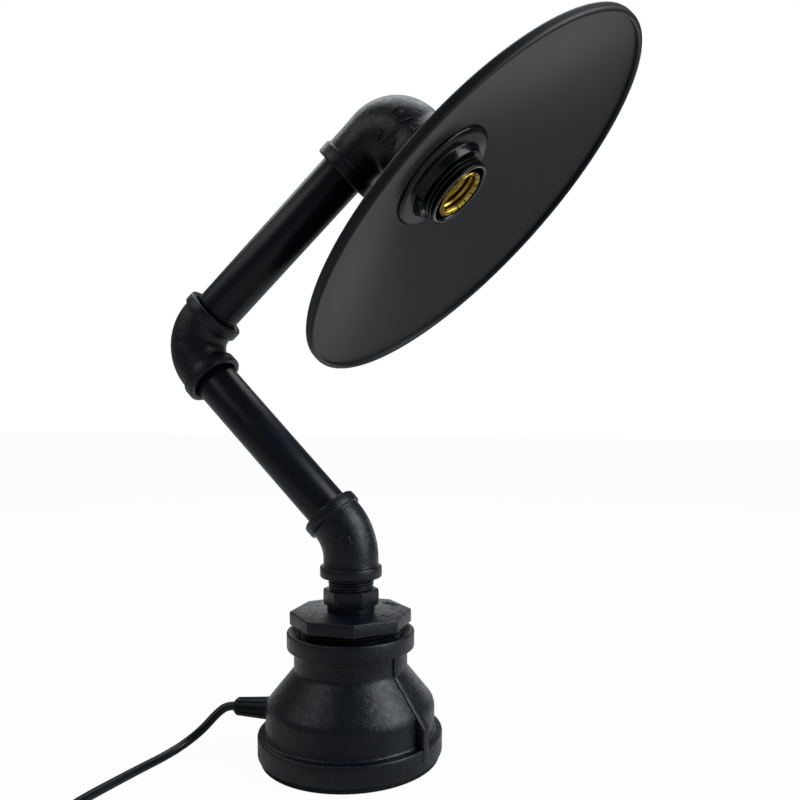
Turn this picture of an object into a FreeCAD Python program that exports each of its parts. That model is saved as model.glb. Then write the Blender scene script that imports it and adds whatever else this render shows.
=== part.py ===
import FreeCAD, Part
import math
import os

from FreeCAD import Vector, Rotation, Placement

os.makedirs("parts", exist_ok=True)

# Industrial pipe table lamp. Millimetres, +Z up, origin at the middle of the foot's underside.
# A reducing coupling stands as the base. Above it: octagon bushing, hex nipple, 45 degree elbow,
# lower pipe, 90 degree elbow, upper pipe, reducing elbow, lamp socket and a spun dish shade.

# ---------------------------------------------------------------- clearances
RUN_GAP = 0.05          # radial running clearance of a screwed joint that swivels
SEAT_GAP = 0.05         # radial clearance of a piece seated inside another

# ---------------------------------------------------------------- base coupling and foot
BASE_BAND_RADIUS = 56.5
BASE_BAND_HEIGHT = 13.4
BASE_BAND_STEP = 5.0    # how far the big band stands out from the body above it
BASE_BODY_HEIGHT = 18.0
BASE_CONE_HEIGHT = 21.5
BASE_NECK_RADIUS = 34.4
BASE_NECK_HEIGHT = 12.7
BASE_RIM_STEP = 4.2     # how far the small band stands out from the neck
BASE_RIM_HEIGHT = 10.6
BASE_WALL = 5.6
BASE_THREAD_WALL = 7.3  # body wall left round the big pipe thread
BASE_THREAD_DEPTH = 24.0
NECK_THREAD_WALL = 4.25
NECK_THREAD_DEPTH = 19.0
BASE_EDGE_ROUND = 1.2
SHOULDER_ROUND = 9.0
PAD_HEIGHT = 3.5
PAD_INSET = 1.7
RIB_WIDTH = 5.5
RIB_AZIMUTH = -40.0
RIB_PROUD = 0.3         # how far the rib stands out from the big band
RIB_DROP = 8.2          # how far it runs down that band
RIB_RISE = 1.0          # how far it stands out from the cone and the neck

BASE_BODY_RADIUS = BASE_BAND_RADIUS - BASE_BAND_STEP
BASE_RIM_RADIUS = BASE_NECK_RADIUS + BASE_RIM_STEP
BASE_THREAD_RADIUS = BASE_BODY_RADIUS - BASE_THREAD_WALL
NECK_THREAD_RADIUS = BASE_NECK_RADIUS - NECK_THREAD_WALL
PAD_RADIUS = BASE_BAND_RADIUS - PAD_INSET

# ---------------------------------------------------------------- octagon bushing
BUSHING_THREAD_GAP = 3.7
BUSHING_HEAD_HEIGHT = 8.3
BUSHING_ACROSS_CORNERS = 73.7
BUSHING_AZIMUTH = -88.0
BUSHING_SPIGOT_DEPTH = 16.0
BUSHING_SPIGOT_WALL = 5.15
BUSHING_DECK = 13.0

# ---------------------------------------------------------------- three-quarter inch pipe and threads
PIPE_RADIUS = 13.335
PIPE_BORE_RADIUS = 10.45
THREAD_REACH = 12.0     # how far a pipe end screws into a fitting
THREAD_ROOM = 13.5      # depth of the tapped part of a fitting

# ---------------------------------------------------------------- hex nipple
NIPPLE_COLLAR_RADIUS = 14.4
NIPPLE_COLLAR_HEIGHT = 3.6
NIPPLE_HEX_HEIGHT = 9.95
NIPPLE_HEX_CORNERS = 33.8
NIPPLE_HEX_AZIMUTH = -66.0
NIPPLE_NECK_HEIGHT = 7.3
NIPPLE_BORE_RADIUS = 10.0

# ---------------------------------------------------------------- 45 degree elbow
BAND_WIDTH = 6.9
ELBOW_BODY_RADIUS = 16.5
ELBOW_BORE_RADIUS = 10.6
E45_LOWER_LEG = 24.7
E45_UPPER_LEG = 21.0
E45_BEND_RADIUS = 33.0
E45_LOWER_BAND_RADIUS = 18.6
BAND_RADIUS = 18.1
BAND_ROUND = 1.1

# ---------------------------------------------------------------- arm
ARM_AZIMUTH = 155.0     # compass direction in which the lower pipe leans
MIDDLE_TWIST = -6.0     # turn of the upper pipe about the lower one, from the flat zigzag
HEAD_TWIST = -3.0       # turn of the head about the upper pipe, from the flat zigzag
LOWER_ARM_LENGTH = 159.6
UPPER_ARM_LENGTH = 183.2
E90_LEG = 29.6
E90_BEND_RADIUS = 21.3

# ---------------------------------------------------------------- reducing elbow at the head
HEAD_PIPE_LEG = 41.0
HEAD_PIPE_BAND_WIDTH = 8.3
HEAD_OUTLET_LEG = 30.9
HEAD_OUTER_BEND = 35.0
HEAD_CROOK = 2.0        # radius left open in the crook of the head elbow
HEAD_PIPE_BODY_RADIUS = 16.8
HEAD_OUTLET_BODY_RADIUS = 22.4
HEAD_OUTLET_FLARE = 2.4 # how much the outlet widens from the bend to its band
HEAD_OUTLET_BAND_RADIUS = 26.6
HEAD_OUTLET_BAND_WIDTH = 5.8
HEAD_CHAMBER_RADIUS = 14.0

# ---------------------------------------------------------------- lamp socket
SOCKET_RADIUS = 20.4
SOCKET_BACK = 14.0      # all socket stations are measured from the head elbow's corner
SOCKET_MOUTH = 60.3
SOCKET_WALL = 2.6
SOCKET_BACK_WALL = 3.0
SOCKET_LIP = 3.2
SOCKET_DISH = 2.0       # how far the mouth's face falls from its edge to the screw shell
SOCKET_RIDGE = 0.7
SOCKET_RIDGE_PITCH = 3.2
SOCKET_RIDGES = 3
SHELL_RADIUS = 13.4     # inside radius of the lamp cap's screw shell
SHELL_WALL = 0.5
SHELL_FLARE = 1.7
SHELL_FOOT_LENGTH = 5.0 # the tapered foot that the lamp cap doesn't reach
SHELL_FOOT_RADIUS = 12.2
INSERT_THICKNESS = 6.0
CONTACT_WIDTH = 5.0
CONTACT_LENGTH = 9.0
CONTACT_RISE = 4.5
CONTACT_THICKNESS = 0.6
TERMINAL_RADIUS = 2.4
TERMINAL_SPACING = 20.0

# ---------------------------------------------------------------- shade and its clamping rings
SHADE_RADIUS = 124.6
SHADE_SEAT = 44.6       # station of the shade's back at the socket
SHADE_MOUTH = 76.3      # station of the rim's front edge
SHADE_SHEET = 0.8
SHADE_FLAT_MARGIN = 0.5 # flat left round the front ring
SHADE_BOW = 1.2
SHADE_BEAD_LENGTH = 5.4
SHADE_BEAD_WIDTH = 3.0
FRONT_RING_RADIUS = 35.0
FRONT_RING_FACE_RADIUS = 32.6
FRONT_RING_EDGE = 2.5
FRONT_RING_HUB_RADIUS = 25.7
FRONT_RING_NOSE_RADIUS = 21.7
FRONT_RING_HEIGHT = 4.7
BACK_RING_RADIUS = 26.5
BACK_RING_HEIGHT = 4.5

# ---------------------------------------------------------------- cord grip, lead and cord
GRIP_AZIMUTH = 165.0
GRIP_HEIGHT = 26.0
GRIP_OUTER_LENGTH = 23.0
GRIP_ROOT_RADIUS = 7.3
GRIP_TIP_RADIUS = 5.2
GRIP_SPIGOT_RADIUS = 5.8
GRIP_SPIGOT_LENGTH = 12.0
GRIP_FLUTES = 12
GRIP_FLUTE_DEPTH = 0.6
GRIP_FLUTE_WIDTH = 1.0
GRIP_NUT_RADIUS = 8.6
GRIP_NUT_THICKNESS = 3.0
CORD_RADIUS = 2.75
CORD_REST = 2.9         # height of the cord's middle where it lies on the table
COIL_CENTRE = Vector(-14, -180, 0)
COIL_INNER_TURN = 22.0
COIL_BOTTOM_TURNS = 4
COIL_TOP_TURNS = 3

# ---------------------------------------------------------------- switch in the cord
SWITCH_CENTRE = Vector(-82, -141, 0)
SWITCH_LENGTH = 62.0
SWITCH_WIDTH = 25.0
SWITCH_SPLIT = 8.0
SWITCH_HEIGHT = 16.0
SWITCH_WALL = 2.0
SWITCH_CORD_HEIGHT = 5.0
SWITCH_SCREW_X = 20.0
SWITCH_SCREW_Y = 7.6
SWITCH_SCREW_RADIUS = 1.4
SWITCH_SCREW_HEAD = 2.6
ROCKER_LENGTH = 19.0
ROCKER_WIDTH = 11.0
ROCKER_TILT = 9.0
ROCKER_PIN_RADIUS = 1.6
ROCKER_ROOM = 0.6

# ---------------------------------------------------------------- plug
PLUG_ENTRY = Vector(73, -143.5, 7)
PLUG_LENGTH = 34.0
PLUG_WIDTH = 24.0
PLUG_HEIGHT = 14.0
BLADE_SPACING = 12.7
BLADE_WIDTH = 6.35
BLADE_THICKNESS = 1.5
BLADE_LENGTH = 17.0
BLADE_ROOT = 8.0        # length of each blade inside the plug
BLADE_EYE_RADIUS = 1.6
BLADE_EYE_INSET = 4.5

UP = Vector(0, 0, 1)
LEAD_HOLE_RADIUS = CORD_RADIUS + 0.85


# ================================================================ small helpers
def save(name, *solids):
    shape = solids[0] if len(solids) == 1 else Part.makeCompound(list(solids))
    shape.exportStep("parts/" + name + ".step")


def unit(vector):
    return vector * (1.0 / vector.Length)


def stand(shape, foot, axis):
    """Carries a shape drawn along +Z from the origin to a foot point and an axis."""
    turned = shape.copy()
    turned.Placement = Placement(foot, Rotation(UP, axis)).multiply(shape.Placement)
    return turned


def rod(radius, foot, axis, start, end):
    return Part.makeCylinder(radius, end - start, foot + axis * start, axis)


def lathe(points, foot=Vector(0, 0, 0), axis=UP):
    """Turns a closed outline of (radius, height) points round the axis."""
    corners = [Vector(radius, 0, height) for radius, height in points]
    wire = Part.makePolygon(corners + [corners[0]])
    turned = Part.Face(wire).revolve(Vector(0, 0, 0), UP, 360)
    return stand(turned, foot, axis)


def rounded_band(radius, foot, axis, start, end, round_size):
    """A cast reinforcing band with softened edges."""
    band = rod(radius, foot, axis, start, end)
    rims = [edge for edge in band.Edges if isinstance(edge.Curve, Part.Circle)]
    return band.makeFillet(round_size, rims)


def prism(corner_count, across_corners, height, turn, foot, chamfer):
    """A nut-like prism whose outer corners are turned off by a cone at both ends."""
    corners = []
    for index in range(corner_count):
        angle = math.radians(turn + 360.0 * index / corner_count)
        reach = across_corners / 2
        corners.append(Vector(reach * math.cos(angle), reach * math.sin(angle), 0))
    wire = Part.makePolygon(corners + [corners[0]])
    block = Part.Face(wire).extrude(Vector(0, 0, height))
    flat_radius = across_corners / 2 * math.cos(math.pi / corner_count)
    outer = across_corners / 2 + 1
    fall = (outer - flat_radius) * chamfer
    turned = lathe([
        (0, 0),
        (flat_radius, 0),
        (outer, fall),
        (outer, height - fall),
        (flat_radius, height),
        (0, height),
    ])
    shaped = block.common(turned)
    shaped.translate(foot)
    return shaped


def smooth(share):
    return share * share * (3 - 2 * share)


# ================================================================ arm directions and corners
outward = Vector(math.cos(math.radians(ARM_AZIMUTH)), math.sin(math.radians(ARM_AZIMUTH)), 0)
across = UP.cross(outward)
lower_axis = unit(outward + UP)
lower_back = unit(UP - outward)
middle_turn = math.radians(MIDDLE_TWIST)
upper_axis = lower_back * math.cos(middle_turn) + across * math.sin(middle_turn)
upper_across = across * math.cos(middle_turn) - lower_back * math.sin(middle_turn)
head_turn = math.radians(HEAD_TWIST)
head_axis = lower_axis * -math.cos(head_turn) + upper_across * math.sin(head_turn)

BASE_TOP = (PAD_HEIGHT + BASE_BAND_HEIGHT + BASE_BODY_HEIGHT + BASE_CONE_HEIGHT
            + BASE_NECK_HEIGHT + BASE_RIM_HEIGHT)
BUSHING_TOP = BASE_TOP + BUSHING_THREAD_GAP + BUSHING_HEAD_HEIGHT
NIPPLE_HEX_TOP = BUSHING_TOP + NIPPLE_COLLAR_HEIGHT + NIPPLE_HEX_HEIGHT
E45_FOOT = NIPPLE_HEX_TOP + NIPPLE_NECK_HEIGHT
first_corner = UP * (E45_FOOT + E45_LOWER_LEG)
second_corner = first_corner + lower_axis * LOWER_ARM_LENGTH
third_corner = second_corner + upper_axis * UPPER_ARM_LENGTH


def along_head(station):
    return third_corner + head_axis * station


# ================================================================ base
def base_outline():
    band_top = PAD_HEIGHT + BASE_BAND_HEIGHT
    shoulder = band_top + BASE_BODY_HEIGHT
    neck_foot = shoulder + BASE_CONE_HEIGHT
    rim_foot = neck_foot + BASE_NECK_HEIGHT
    return band_top, shoulder, neck_foot, rim_foot


def make_base_reducer():
    band_top, shoulder, neck_foot, rim_foot = base_outline()
    outside = lathe([
        (0, PAD_HEIGHT),
        (BASE_BAND_RADIUS, PAD_HEIGHT),
        (BASE_BAND_RADIUS, band_top),
        (BASE_BODY_RADIUS, band_top),
        (BASE_BODY_RADIUS, shoulder),
        (BASE_NECK_RADIUS, neck_foot),
        (BASE_NECK_RADIUS, rim_foot),
        (BASE_RIM_RADIUS, rim_foot),
        (BASE_RIM_RADIUS, BASE_TOP),
        (0, BASE_TOP),
    ])

    def rings(radius, height):
        found = []
        for edge in outside.Edges:
            if not isinstance(edge.Curve, Part.Circle):
                continue
            same_height = abs(edge.Curve.Center.z - height) < 1e-6
            if same_height and abs(edge.Curve.Radius - radius) < 1e-6:
                found.append(edge)
        return found

    outside = outside.makeFillet(SHOULDER_ROUND, rings(BASE_BODY_RADIUS, shoulder))
    outside = outside.makeFillet(SHOULDER_ROUND / 2, rings(BASE_NECK_RADIUS, neck_foot))
    soft_rings = (
        rings(BASE_BAND_RADIUS, PAD_HEIGHT) + rings(BASE_BAND_RADIUS, band_top)
        + rings(BASE_BODY_RADIUS, band_top) + rings(BASE_NECK_RADIUS, rim_foot)
        + rings(BASE_RIM_RADIUS, rim_foot) + rings(BASE_RIM_RADIUS, BASE_TOP)
    )
    outside = outside.makeFillet(BASE_EDGE_ROUND, soft_rings)

    hollow_radius = BASE_BODY_RADIUS - BASE_WALL
    neck_hollow = BASE_NECK_RADIUS - BASE_WALL
    thread_top = PAD_HEIGHT + BASE_THREAD_DEPTH
    neck_thread_foot = BASE_TOP - NECK_THREAD_DEPTH
    inside = lathe([
        (0, PAD_HEIGHT - 1),
        (BASE_THREAD_RADIUS, PAD_HEIGHT - 1),
        (BASE_THREAD_RADIUS, thread_top),
        (hollow_radius, thread_top + 1.5),
        (hollow_radius, shoulder - BASE_WALL / 2),
        (neck_hollow, neck_foot - BASE_WALL / 2),
        (neck_hollow, neck_thread_foot - 1),
        (NECK_THREAD_RADIUS, neck_thread_foot),
        (NECK_THREAD_RADIUS, BASE_TOP + 1),
        (0, BASE_TOP + 1),
    ])

    # two cast ribs: proud of the big band below, thin up the cone and the neck
    mid_wall = BASE_WALL / 2
    rib_face = BASE_BAND_RADIUS + RIB_PROUD
    cone_slope = BASE_CONE_HEIGHT / (BASE_BODY_RADIUS - BASE_NECK_RADIUS)
    rib_shoulder = shoulder - (rib_face - RIB_RISE - BASE_BODY_RADIUS) * cone_slope
    rib_points = [
        (BASE_BODY_RADIUS - mid_wall, band_top - RIB_DROP),
        (rib_face, band_top - RIB_DROP),
        (rib_face, rib_shoulder),
        (BASE_NECK_RADIUS + RIB_RISE, neck_foot),
        (BASE_NECK_RADIUS + RIB_RISE, rim_foot + 1),
        (BASE_NECK_RADIUS - mid_wall, rim_foot + 1),
        (BASE_NECK_RADIUS - mid_wall, neck_foot - 1),
        (BASE_BODY_RADIUS - mid_wall, shoulder - 1),
    ]
    corners = [Vector(radius, -RIB_WIDTH / 2, height) for radius, height in rib_points]
    rib = Part.Face(Part.makePolygon(corners + [corners[0]])).extrude(Vector(0, RIB_WIDTH, 0))
    ribs = []
    for half_turn in (0, 180):
        turned = rib.copy()
        turned.rotate(Vector(0, 0, 0), UP, RIB_AZIMUTH + half_turn)
        ribs.append(turned)
    body = outside.fuse(ribs)
    body = body.cut(inside)
    grip_hole = rod(GRIP_SPIGOT_RADIUS + SEAT_GAP, UP * GRIP_HEIGHT, grip_direction,
                    BASE_THREAD_RADIUS - 2 * BASE_WALL, BASE_BODY_RADIUS + 2 * BASE_WALL)
    return body.cut(grip_hole).removeSplitter()


def make_base_pad():
    pad = Part.makeCylinder(PAD_RADIUS, PAD_HEIGHT)
    rim = [edge for edge in pad.Edges if isinstance(edge.Curve, Part.Circle)]
    return pad.makeFillet(BASE_EDGE_ROUND / 2, [rim[0]])


def make_octagon_bushing():
    head_foot = BASE_TOP + BUSHING_THREAD_GAP
    head = prism(8, BUSHING_ACROSS_CORNERS, BUSHING_HEAD_HEIGHT, BUSHING_AZIMUTH, UP * head_foot, 0.35)
    spigot_foot = BASE_TOP - BUSHING_SPIGOT_DEPTH
    spigot = rod(NECK_THREAD_RADIUS - SEAT_GAP, Vector(0, 0, 0), UP, spigot_foot, head_foot + 1)
    core_radius = NECK_THREAD_RADIUS - BUSHING_SPIGOT_WALL
    core = rod(core_radius, Vector(0, 0, 0), UP, spigot_foot - 1, BUSHING_TOP - BUSHING_DECK)
    tapped = rod(PIPE_RADIUS + SEAT_GAP, Vector(0, 0, 0), UP, spigot_foot, BUSHING_TOP + 1)
    return head.fuse(spigot).cut(core).cut(tapped).removeSplitter()


def make_hex_nipple():
    collar_foot = BUSHING_TOP
    hex_foot = collar_foot + NIPPLE_COLLAR_HEIGHT
    hexagon = prism(6, NIPPLE_HEX_CORNERS, NIPPLE_HEX_HEIGHT, NIPPLE_HEX_AZIMUTH, UP * hex_foot, 0.45)
    origin = Vector(0, 0, 0)
    lower_thread = rod(PIPE_RADIUS, origin, UP, collar_foot - THREAD_REACH, collar_foot + 1)
    collar = rod(NIPPLE_COLLAR_RADIUS, origin, UP, collar_foot, hex_foot + 1)
    upper_thread = rod(PIPE_RADIUS, origin, UP, NIPPLE_HEX_TOP - 1, E45_FOOT + THREAD_REACH)
    bore = rod(NIPPLE_BORE_RADIUS, origin, UP, collar_foot - 2 * THREAD_REACH, E45_FOOT + 2 * THREAD_REACH)
    return hexagon.fuse([lower_thread, collar, upper_thread]).cut(bore).removeSplitter()


# ================================================================ elbows
def tapped_end(corner, toward, leg):
    """The tapped counterbore in one end of a fitting."""
    return rod(PIPE_RADIUS + RUN_GAP, corner, toward, leg - THREAD_ROOM, leg + 5)


def bend_of_circle(corner, toward_a, toward_b, radius, bend_radius):
    """A quarter or eighth of a ring that joins two legs, with its tube radius."""
    normal = unit(toward_a.cross(toward_b))
    opening = toward_a.getAngle(toward_b)
    turn = math.pi - opening
    tangent = bend_radius * math.tan(turn / 2)
    centre = corner + unit(toward_a + toward_b) * (bend_radius / math.cos(turn / 2))
    start = corner + toward_a * tangent
    face = Part.Face(Part.Wire(Part.Circle(start, toward_a, radius).toShape()))
    ring = face.revolve(centre, normal, -math.degrees(turn))
    middle = corner + unit(toward_a + toward_b) * (tangent / 2)
    if not ring.isInside(middle, 0.01, True):
        ring = face.revolve(centre, normal, math.degrees(turn))
    return ring, tangent


def ring_wire(centre, first, second, first_radius, second_radius):
    """A closed oval through sixteen even points, starting along its first direction."""
    points = []
    count = 16
    for index in range(count):
        angle = 2 * math.pi * index / count
        points.append(centre + first * (first_radius * math.cos(angle))
                      + second * (second_radius * math.sin(angle)))
    curve = Part.BSplineCurve()
    curve.interpolate(points, True)
    return Part.Wire(curve.toShape())


def reducing_bend(corner, toward_a, toward_b, radius_a, radius_b, outer_bend, margin, leg_a, leg_b, flare):
    """Body of a short reducing elbow: ovals fanned about a point inside its crook, and both legs."""
    normal = toward_a.cross(toward_b)
    pivot_a = radius_b + margin
    pivot_b = radius_a + margin
    arc_a = outer_bend - radius_b
    arc_b = outer_bend - radius_a

    def outer_distance(sine, cosine):
        if cosine > 1e-9:
            distance = (pivot_b + radius_a) / cosine
            if pivot_a - sine * distance >= arc_a:
                return distance
        if sine > 1e-9:
            distance = (pivot_a + radius_b) / sine
            if pivot_b - cosine * distance >= arc_b:
                return distance
        reach_a = pivot_a - arc_a
        reach_b = pivot_b - arc_b
        half = sine * reach_a + cosine * reach_b
        return half + math.sqrt(half * half - reach_a ** 2 - reach_b ** 2 + outer_bend ** 2)

    sections = []
    for share in (0.0, 0.4, 0.8):
        centre = corner + toward_a * (leg_a + (pivot_a - leg_a) * share)
        sections.append(ring_wire(centre, toward_b * -1, normal, radius_a, radius_a))
    steps = 8
    for index in range(steps + 1):
        angle = math.pi / 2 * index / steps
        sine = math.sin(angle)
        cosine = math.cos(angle)
        away = toward_a * -sine - toward_b * cosine
        outer = outer_distance(sine, cosine)
        half_in_plane = (outer - margin) / 2
        half_across = radius_a + (radius_b - radius_a) * smooth(index / steps)
        centre = corner + toward_a * pivot_a + toward_b * pivot_b + away * (margin + half_in_plane)
        sections.append(ring_wire(centre, away, normal, half_in_plane, half_across))
    for share in (0.5, 1.0):
        centre = corner + toward_b * (pivot_b + (leg_b - pivot_b) * share)
        radius = radius_b + flare * smooth(share)
        sections.append(ring_wire(centre, toward_a * -1, normal, radius, radius))
    return Part.makeLoft(sections, True, False)


def even_elbow(corner, toward_a, toward_b, leg_a, leg_b, band_a, band_b, bend_radius):
    """An elbow with two equal tapped ends, a band round each and one round bore."""
    def passage(radius, inset):
        bend, tangent = bend_of_circle(corner, toward_a, toward_b, radius, bend_radius)
        return [
            bend,
            rod(radius, corner, toward_a, tangent, leg_a - inset),
            rod(radius, corner, toward_b, tangent, leg_b - inset),
        ]

    bend, *pieces = passage(ELBOW_BODY_RADIUS, 1)
    pieces.append(rounded_band(band_a, corner, toward_a, leg_a - BAND_WIDTH, leg_a, BAND_ROUND))
    pieces.append(rounded_band(band_b, corner, toward_b, leg_b - BAND_WIDTH, leg_b, BAND_ROUND))
    body = bend.fuse(pieces)
    for cutter in passage(ELBOW_BORE_RADIUS, 0):
        body = body.cut(cutter)
    for toward, leg in ((toward_a, leg_a), (toward_b, leg_b)):
        body = body.cut(tapped_end(corner, toward, leg))
    return body.removeSplitter()


def make_elbow_45():
    return even_elbow(first_corner, UP * -1, lower_axis, E45_LOWER_LEG, E45_UPPER_LEG,
                      E45_LOWER_BAND_RADIUS, BAND_RADIUS, E45_BEND_RADIUS)


def make_middle_elbow():
    return even_elbow(second_corner, lower_axis * -1, upper_axis, E90_LEG, E90_LEG,
                      BAND_RADIUS, BAND_RADIUS, E90_BEND_RADIUS)


def make_head_elbow():
    toward_pipe = upper_axis * -1
    bend = reducing_bend(third_corner, toward_pipe, head_axis,
                         HEAD_PIPE_BODY_RADIUS, HEAD_OUTLET_BODY_RADIUS, HEAD_OUTER_BEND, HEAD_CROOK,
                         HEAD_PIPE_LEG - HEAD_PIPE_BAND_WIDTH / 2,
                         HEAD_OUTLET_LEG - HEAD_OUTLET_BAND_WIDTH / 2, HEAD_OUTLET_FLARE)
    body = bend.fuse([
        rounded_band(BAND_RADIUS, third_corner, toward_pipe,
                     HEAD_PIPE_LEG - HEAD_PIPE_BAND_WIDTH, HEAD_PIPE_LEG, BAND_ROUND),
        rounded_band(HEAD_OUTLET_BAND_RADIUS, third_corner, head_axis,
                     HEAD_OUTLET_LEG - HEAD_OUTLET_BAND_WIDTH, HEAD_OUTLET_LEG, BAND_ROUND),
    ])
    pipe_bore = rod(ELBOW_BORE_RADIUS, third_corner, toward_pipe, 0, HEAD_PIPE_LEG)
    chamber = Part.makeSphere(HEAD_CHAMBER_RADIUS, third_corner)
    throat = rod(HEAD_CHAMBER_RADIUS, third_corner, head_axis, 0, SOCKET_BACK)
    outlet = rod(SOCKET_RADIUS + SEAT_GAP, third_corner, head_axis,
                 SOCKET_BACK - SEAT_GAP, HEAD_OUTLET_LEG + 5)
    tapped = tapped_end(third_corner, toward_pipe, HEAD_PIPE_LEG)
    for cutter in (pipe_bore, chamber, throat, outlet, tapped):
        body = body.cut(cutter)
    return body.removeSplitter()


def make_pipe(start_corner, axis, start, end):
    tube = rod(PIPE_RADIUS, start_corner, axis, start, end)
    return tube.cut(rod(PIPE_BORE_RADIUS, start_corner, axis, start - 1, end + 1))


# ================================================================ socket
def make_socket_body():
    cavity_radius = SOCKET_RADIUS - SOCKET_WALL
    lip_radius = SHELL_RADIUS + SHELL_WALL + SHELL_FLARE + SEAT_GAP
    outline = [
        (LEAD_HOLE_RADIUS, SOCKET_BACK),
        (SOCKET_RADIUS, SOCKET_BACK),
    ]
    for index in range(SOCKET_RIDGES):
        top = SOCKET_MOUTH - (SOCKET_RIDGES - 1 - index) * SOCKET_RIDGE_PITCH
        outline.append((SOCKET_RADIUS, top - SOCKET_RIDGE_PITCH * 0.8))
        outline.append((SOCKET_RADIUS + SOCKET_RIDGE, top - SOCKET_RIDGE_PITCH * 0.5))
        outline.append((SOCKET_RADIUS + SOCKET_RIDGE, top - SOCKET_RIDGE_PITCH * 0.2))
        outline.append((SOCKET_RADIUS, top))
    outline += [
        (lip_radius, SOCKET_MOUTH - SOCKET_DISH),
        (lip_radius, SOCKET_MOUTH - SOCKET_LIP),
        (cavity_radius, SOCKET_MOUTH - SOCKET_LIP),
        (cavity_radius, SOCKET_BACK + SOCKET_BACK_WALL),
        (LEAD_HOLE_RADIUS, SOCKET_BACK + SOCKET_BACK_WALL),
    ]
    return lathe(outline, third_corner, head_axis)


INSERT_BACK = SOCKET_BACK + SOCKET_BACK_WALL + 5.0
INSERT_FRONT = INSERT_BACK + INSERT_THICKNESS


def make_socket_insert():
    radius = SOCKET_RADIUS - SOCKET_WALL - SEAT_GAP
    foot_station = SOCKET_BACK + SOCKET_BACK_WALL
    disc = rod(radius, third_corner, head_axis, INSERT_BACK, INSERT_FRONT)
    skirt = rod(radius, third_corner, head_axis, foot_station, INSERT_BACK + 1)
    skirt = skirt.cut(rod(radius - 2, third_corner, head_axis, foot_station - 1, INSERT_BACK + 1))
    return disc.fuse(skirt).removeSplitter()


def make_screw_shell():
    """Screw shell of the lamp cap: a tapered foot on the insert, a plain wall and a flared mouth."""
    wall_foot = INSERT_FRONT + SHELL_FOOT_LENGTH
    return lathe([
        (SHELL_FOOT_RADIUS, INSERT_FRONT),
        (SHELL_FOOT_RADIUS + SHELL_WALL, INSERT_FRONT),
        (SHELL_RADIUS + SHELL_WALL, wall_foot),
        (SHELL_RADIUS + SHELL_WALL, SOCKET_MOUTH - SHELL_FLARE),
        (SHELL_RADIUS + SHELL_WALL + SHELL_FLARE, SOCKET_MOUTH),
        (SHELL_RADIUS + SHELL_FLARE, SOCKET_MOUTH),
        (SHELL_RADIUS, SOCKET_MOUTH - SHELL_FLARE),
        (SHELL_RADIUS, wall_foot),
    ], third_corner, head_axis)


def make_centre_contact():
    """A bent spring tongue fixed flat on the insert."""
    half = CONTACT_LENGTH / 2
    thick = CONTACT_THICKNESS
    points = [
        (-half, 0),
        (half * 0.2, 0),
        (half, CONTACT_RISE),
        (half - thick, CONTACT_RISE + thick * 0.6),
        (half * 0.2 - thick * 0.6, thick),
        (-half, thick),
    ]
    corners = [Vector(x, -CONTACT_WIDTH / 2, z) for x, z in points]
    strip = Part.Face(Part.makePolygon(corners + [corners[0]])).extrude(Vector(0, CONTACT_WIDTH, 0))
    return stand(strip, along_head(INSERT_FRONT), head_axis)


def make_terminal_screws():
    """Two cheese-head screws on the back of the insert."""
    side = unit(upper_axis.cross(head_axis))
    screws = []
    for sign in (-1, 1):
        foot = along_head(INSERT_BACK) + side * (sign * TERMINAL_SPACING / 2)
        back = head_axis * -1
        head = Part.makeCylinder(TERMINAL_RADIUS, 2.0, foot, back)
        slot = Part.makeBox(TERMINAL_RADIUS * 3, 0.7, 1.2, Vector(-TERMINAL_RADIUS * 1.5, -0.35, 1.2))
        screws.append(head.cut(stand(slot, foot, back)))
    return screws


# ================================================================ shade
def make_shade():
    hole = SOCKET_RADIUS + SEAT_GAP
    bead_back = SHADE_MOUTH - SHADE_BEAD_LENGTH
    sheet_end = SHADE_RADIUS - SHADE_BEAD_WIDTH + 0.4
    flat_radius = FRONT_RING_RADIUS + SHADE_FLAT_MARGIN
    front_flat = SHADE_SEAT + SHADE_SHEET
    front_end = bead_back + 2.4
    middle = (flat_radius + sheet_end) / 2
    middle_station = (front_flat + front_end) / 2 - SHADE_BOW

    def point(radius, station):
        return Vector(radius, 0, station)

    front_arc = Part.Arc(point(flat_radius, front_flat),
                         point(middle, middle_station),
                         point(sheet_end, front_end))
    back_arc = Part.Arc(point(sheet_end, front_end - SHADE_SHEET),
                        point(middle, middle_station - SHADE_SHEET),
                        point(flat_radius, SHADE_SEAT))
    edges = [
        Part.LineSegment(point(hole, front_flat), point(flat_radius, front_flat)),
        front_arc,
        Part.LineSegment(point(sheet_end, front_end), point(sheet_end, front_end - SHADE_SHEET)),
        back_arc,
        Part.LineSegment(point(flat_radius, SHADE_SEAT), point(hole, SHADE_SEAT)),
        Part.LineSegment(point(hole, SHADE_SEAT), point(hole, front_flat)),
    ]
    sheet_face = Part.Face(Part.Wire([edge.toShape() for edge in edges]))
    sheet = stand(sheet_face.revolve(Vector(0, 0, 0), UP, 360), third_corner, head_axis)

    # rolled edge: a flattened bead round the mouth
    half_width = SHADE_BEAD_WIDTH / 2
    straight = SHADE_BEAD_LENGTH - SHADE_BEAD_WIDTH
    low = bead_back + half_width
    high = low + straight
    inner = SHADE_RADIUS - SHADE_BEAD_WIDTH
    centre = SHADE_RADIUS - half_width
    bead_edges = [
        Part.LineSegment(point(SHADE_RADIUS, low), point(SHADE_RADIUS, high)),
        Part.Arc(point(SHADE_RADIUS, high), point(centre, SHADE_MOUTH), point(inner, high)),
        Part.LineSegment(point(inner, high), point(inner, low)),
        Part.Arc(point(inner, low), point(centre, bead_back), point(SHADE_RADIUS, low)),
    ]
    bead_face = Part.Face(Part.Wire([edge.toShape() for edge in bead_edges]))
    bead = stand(bead_face.revolve(Vector(0, 0, 0), UP, 360), third_corner, head_axis)
    return sheet.fuse(bead).removeSplitter()


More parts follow.
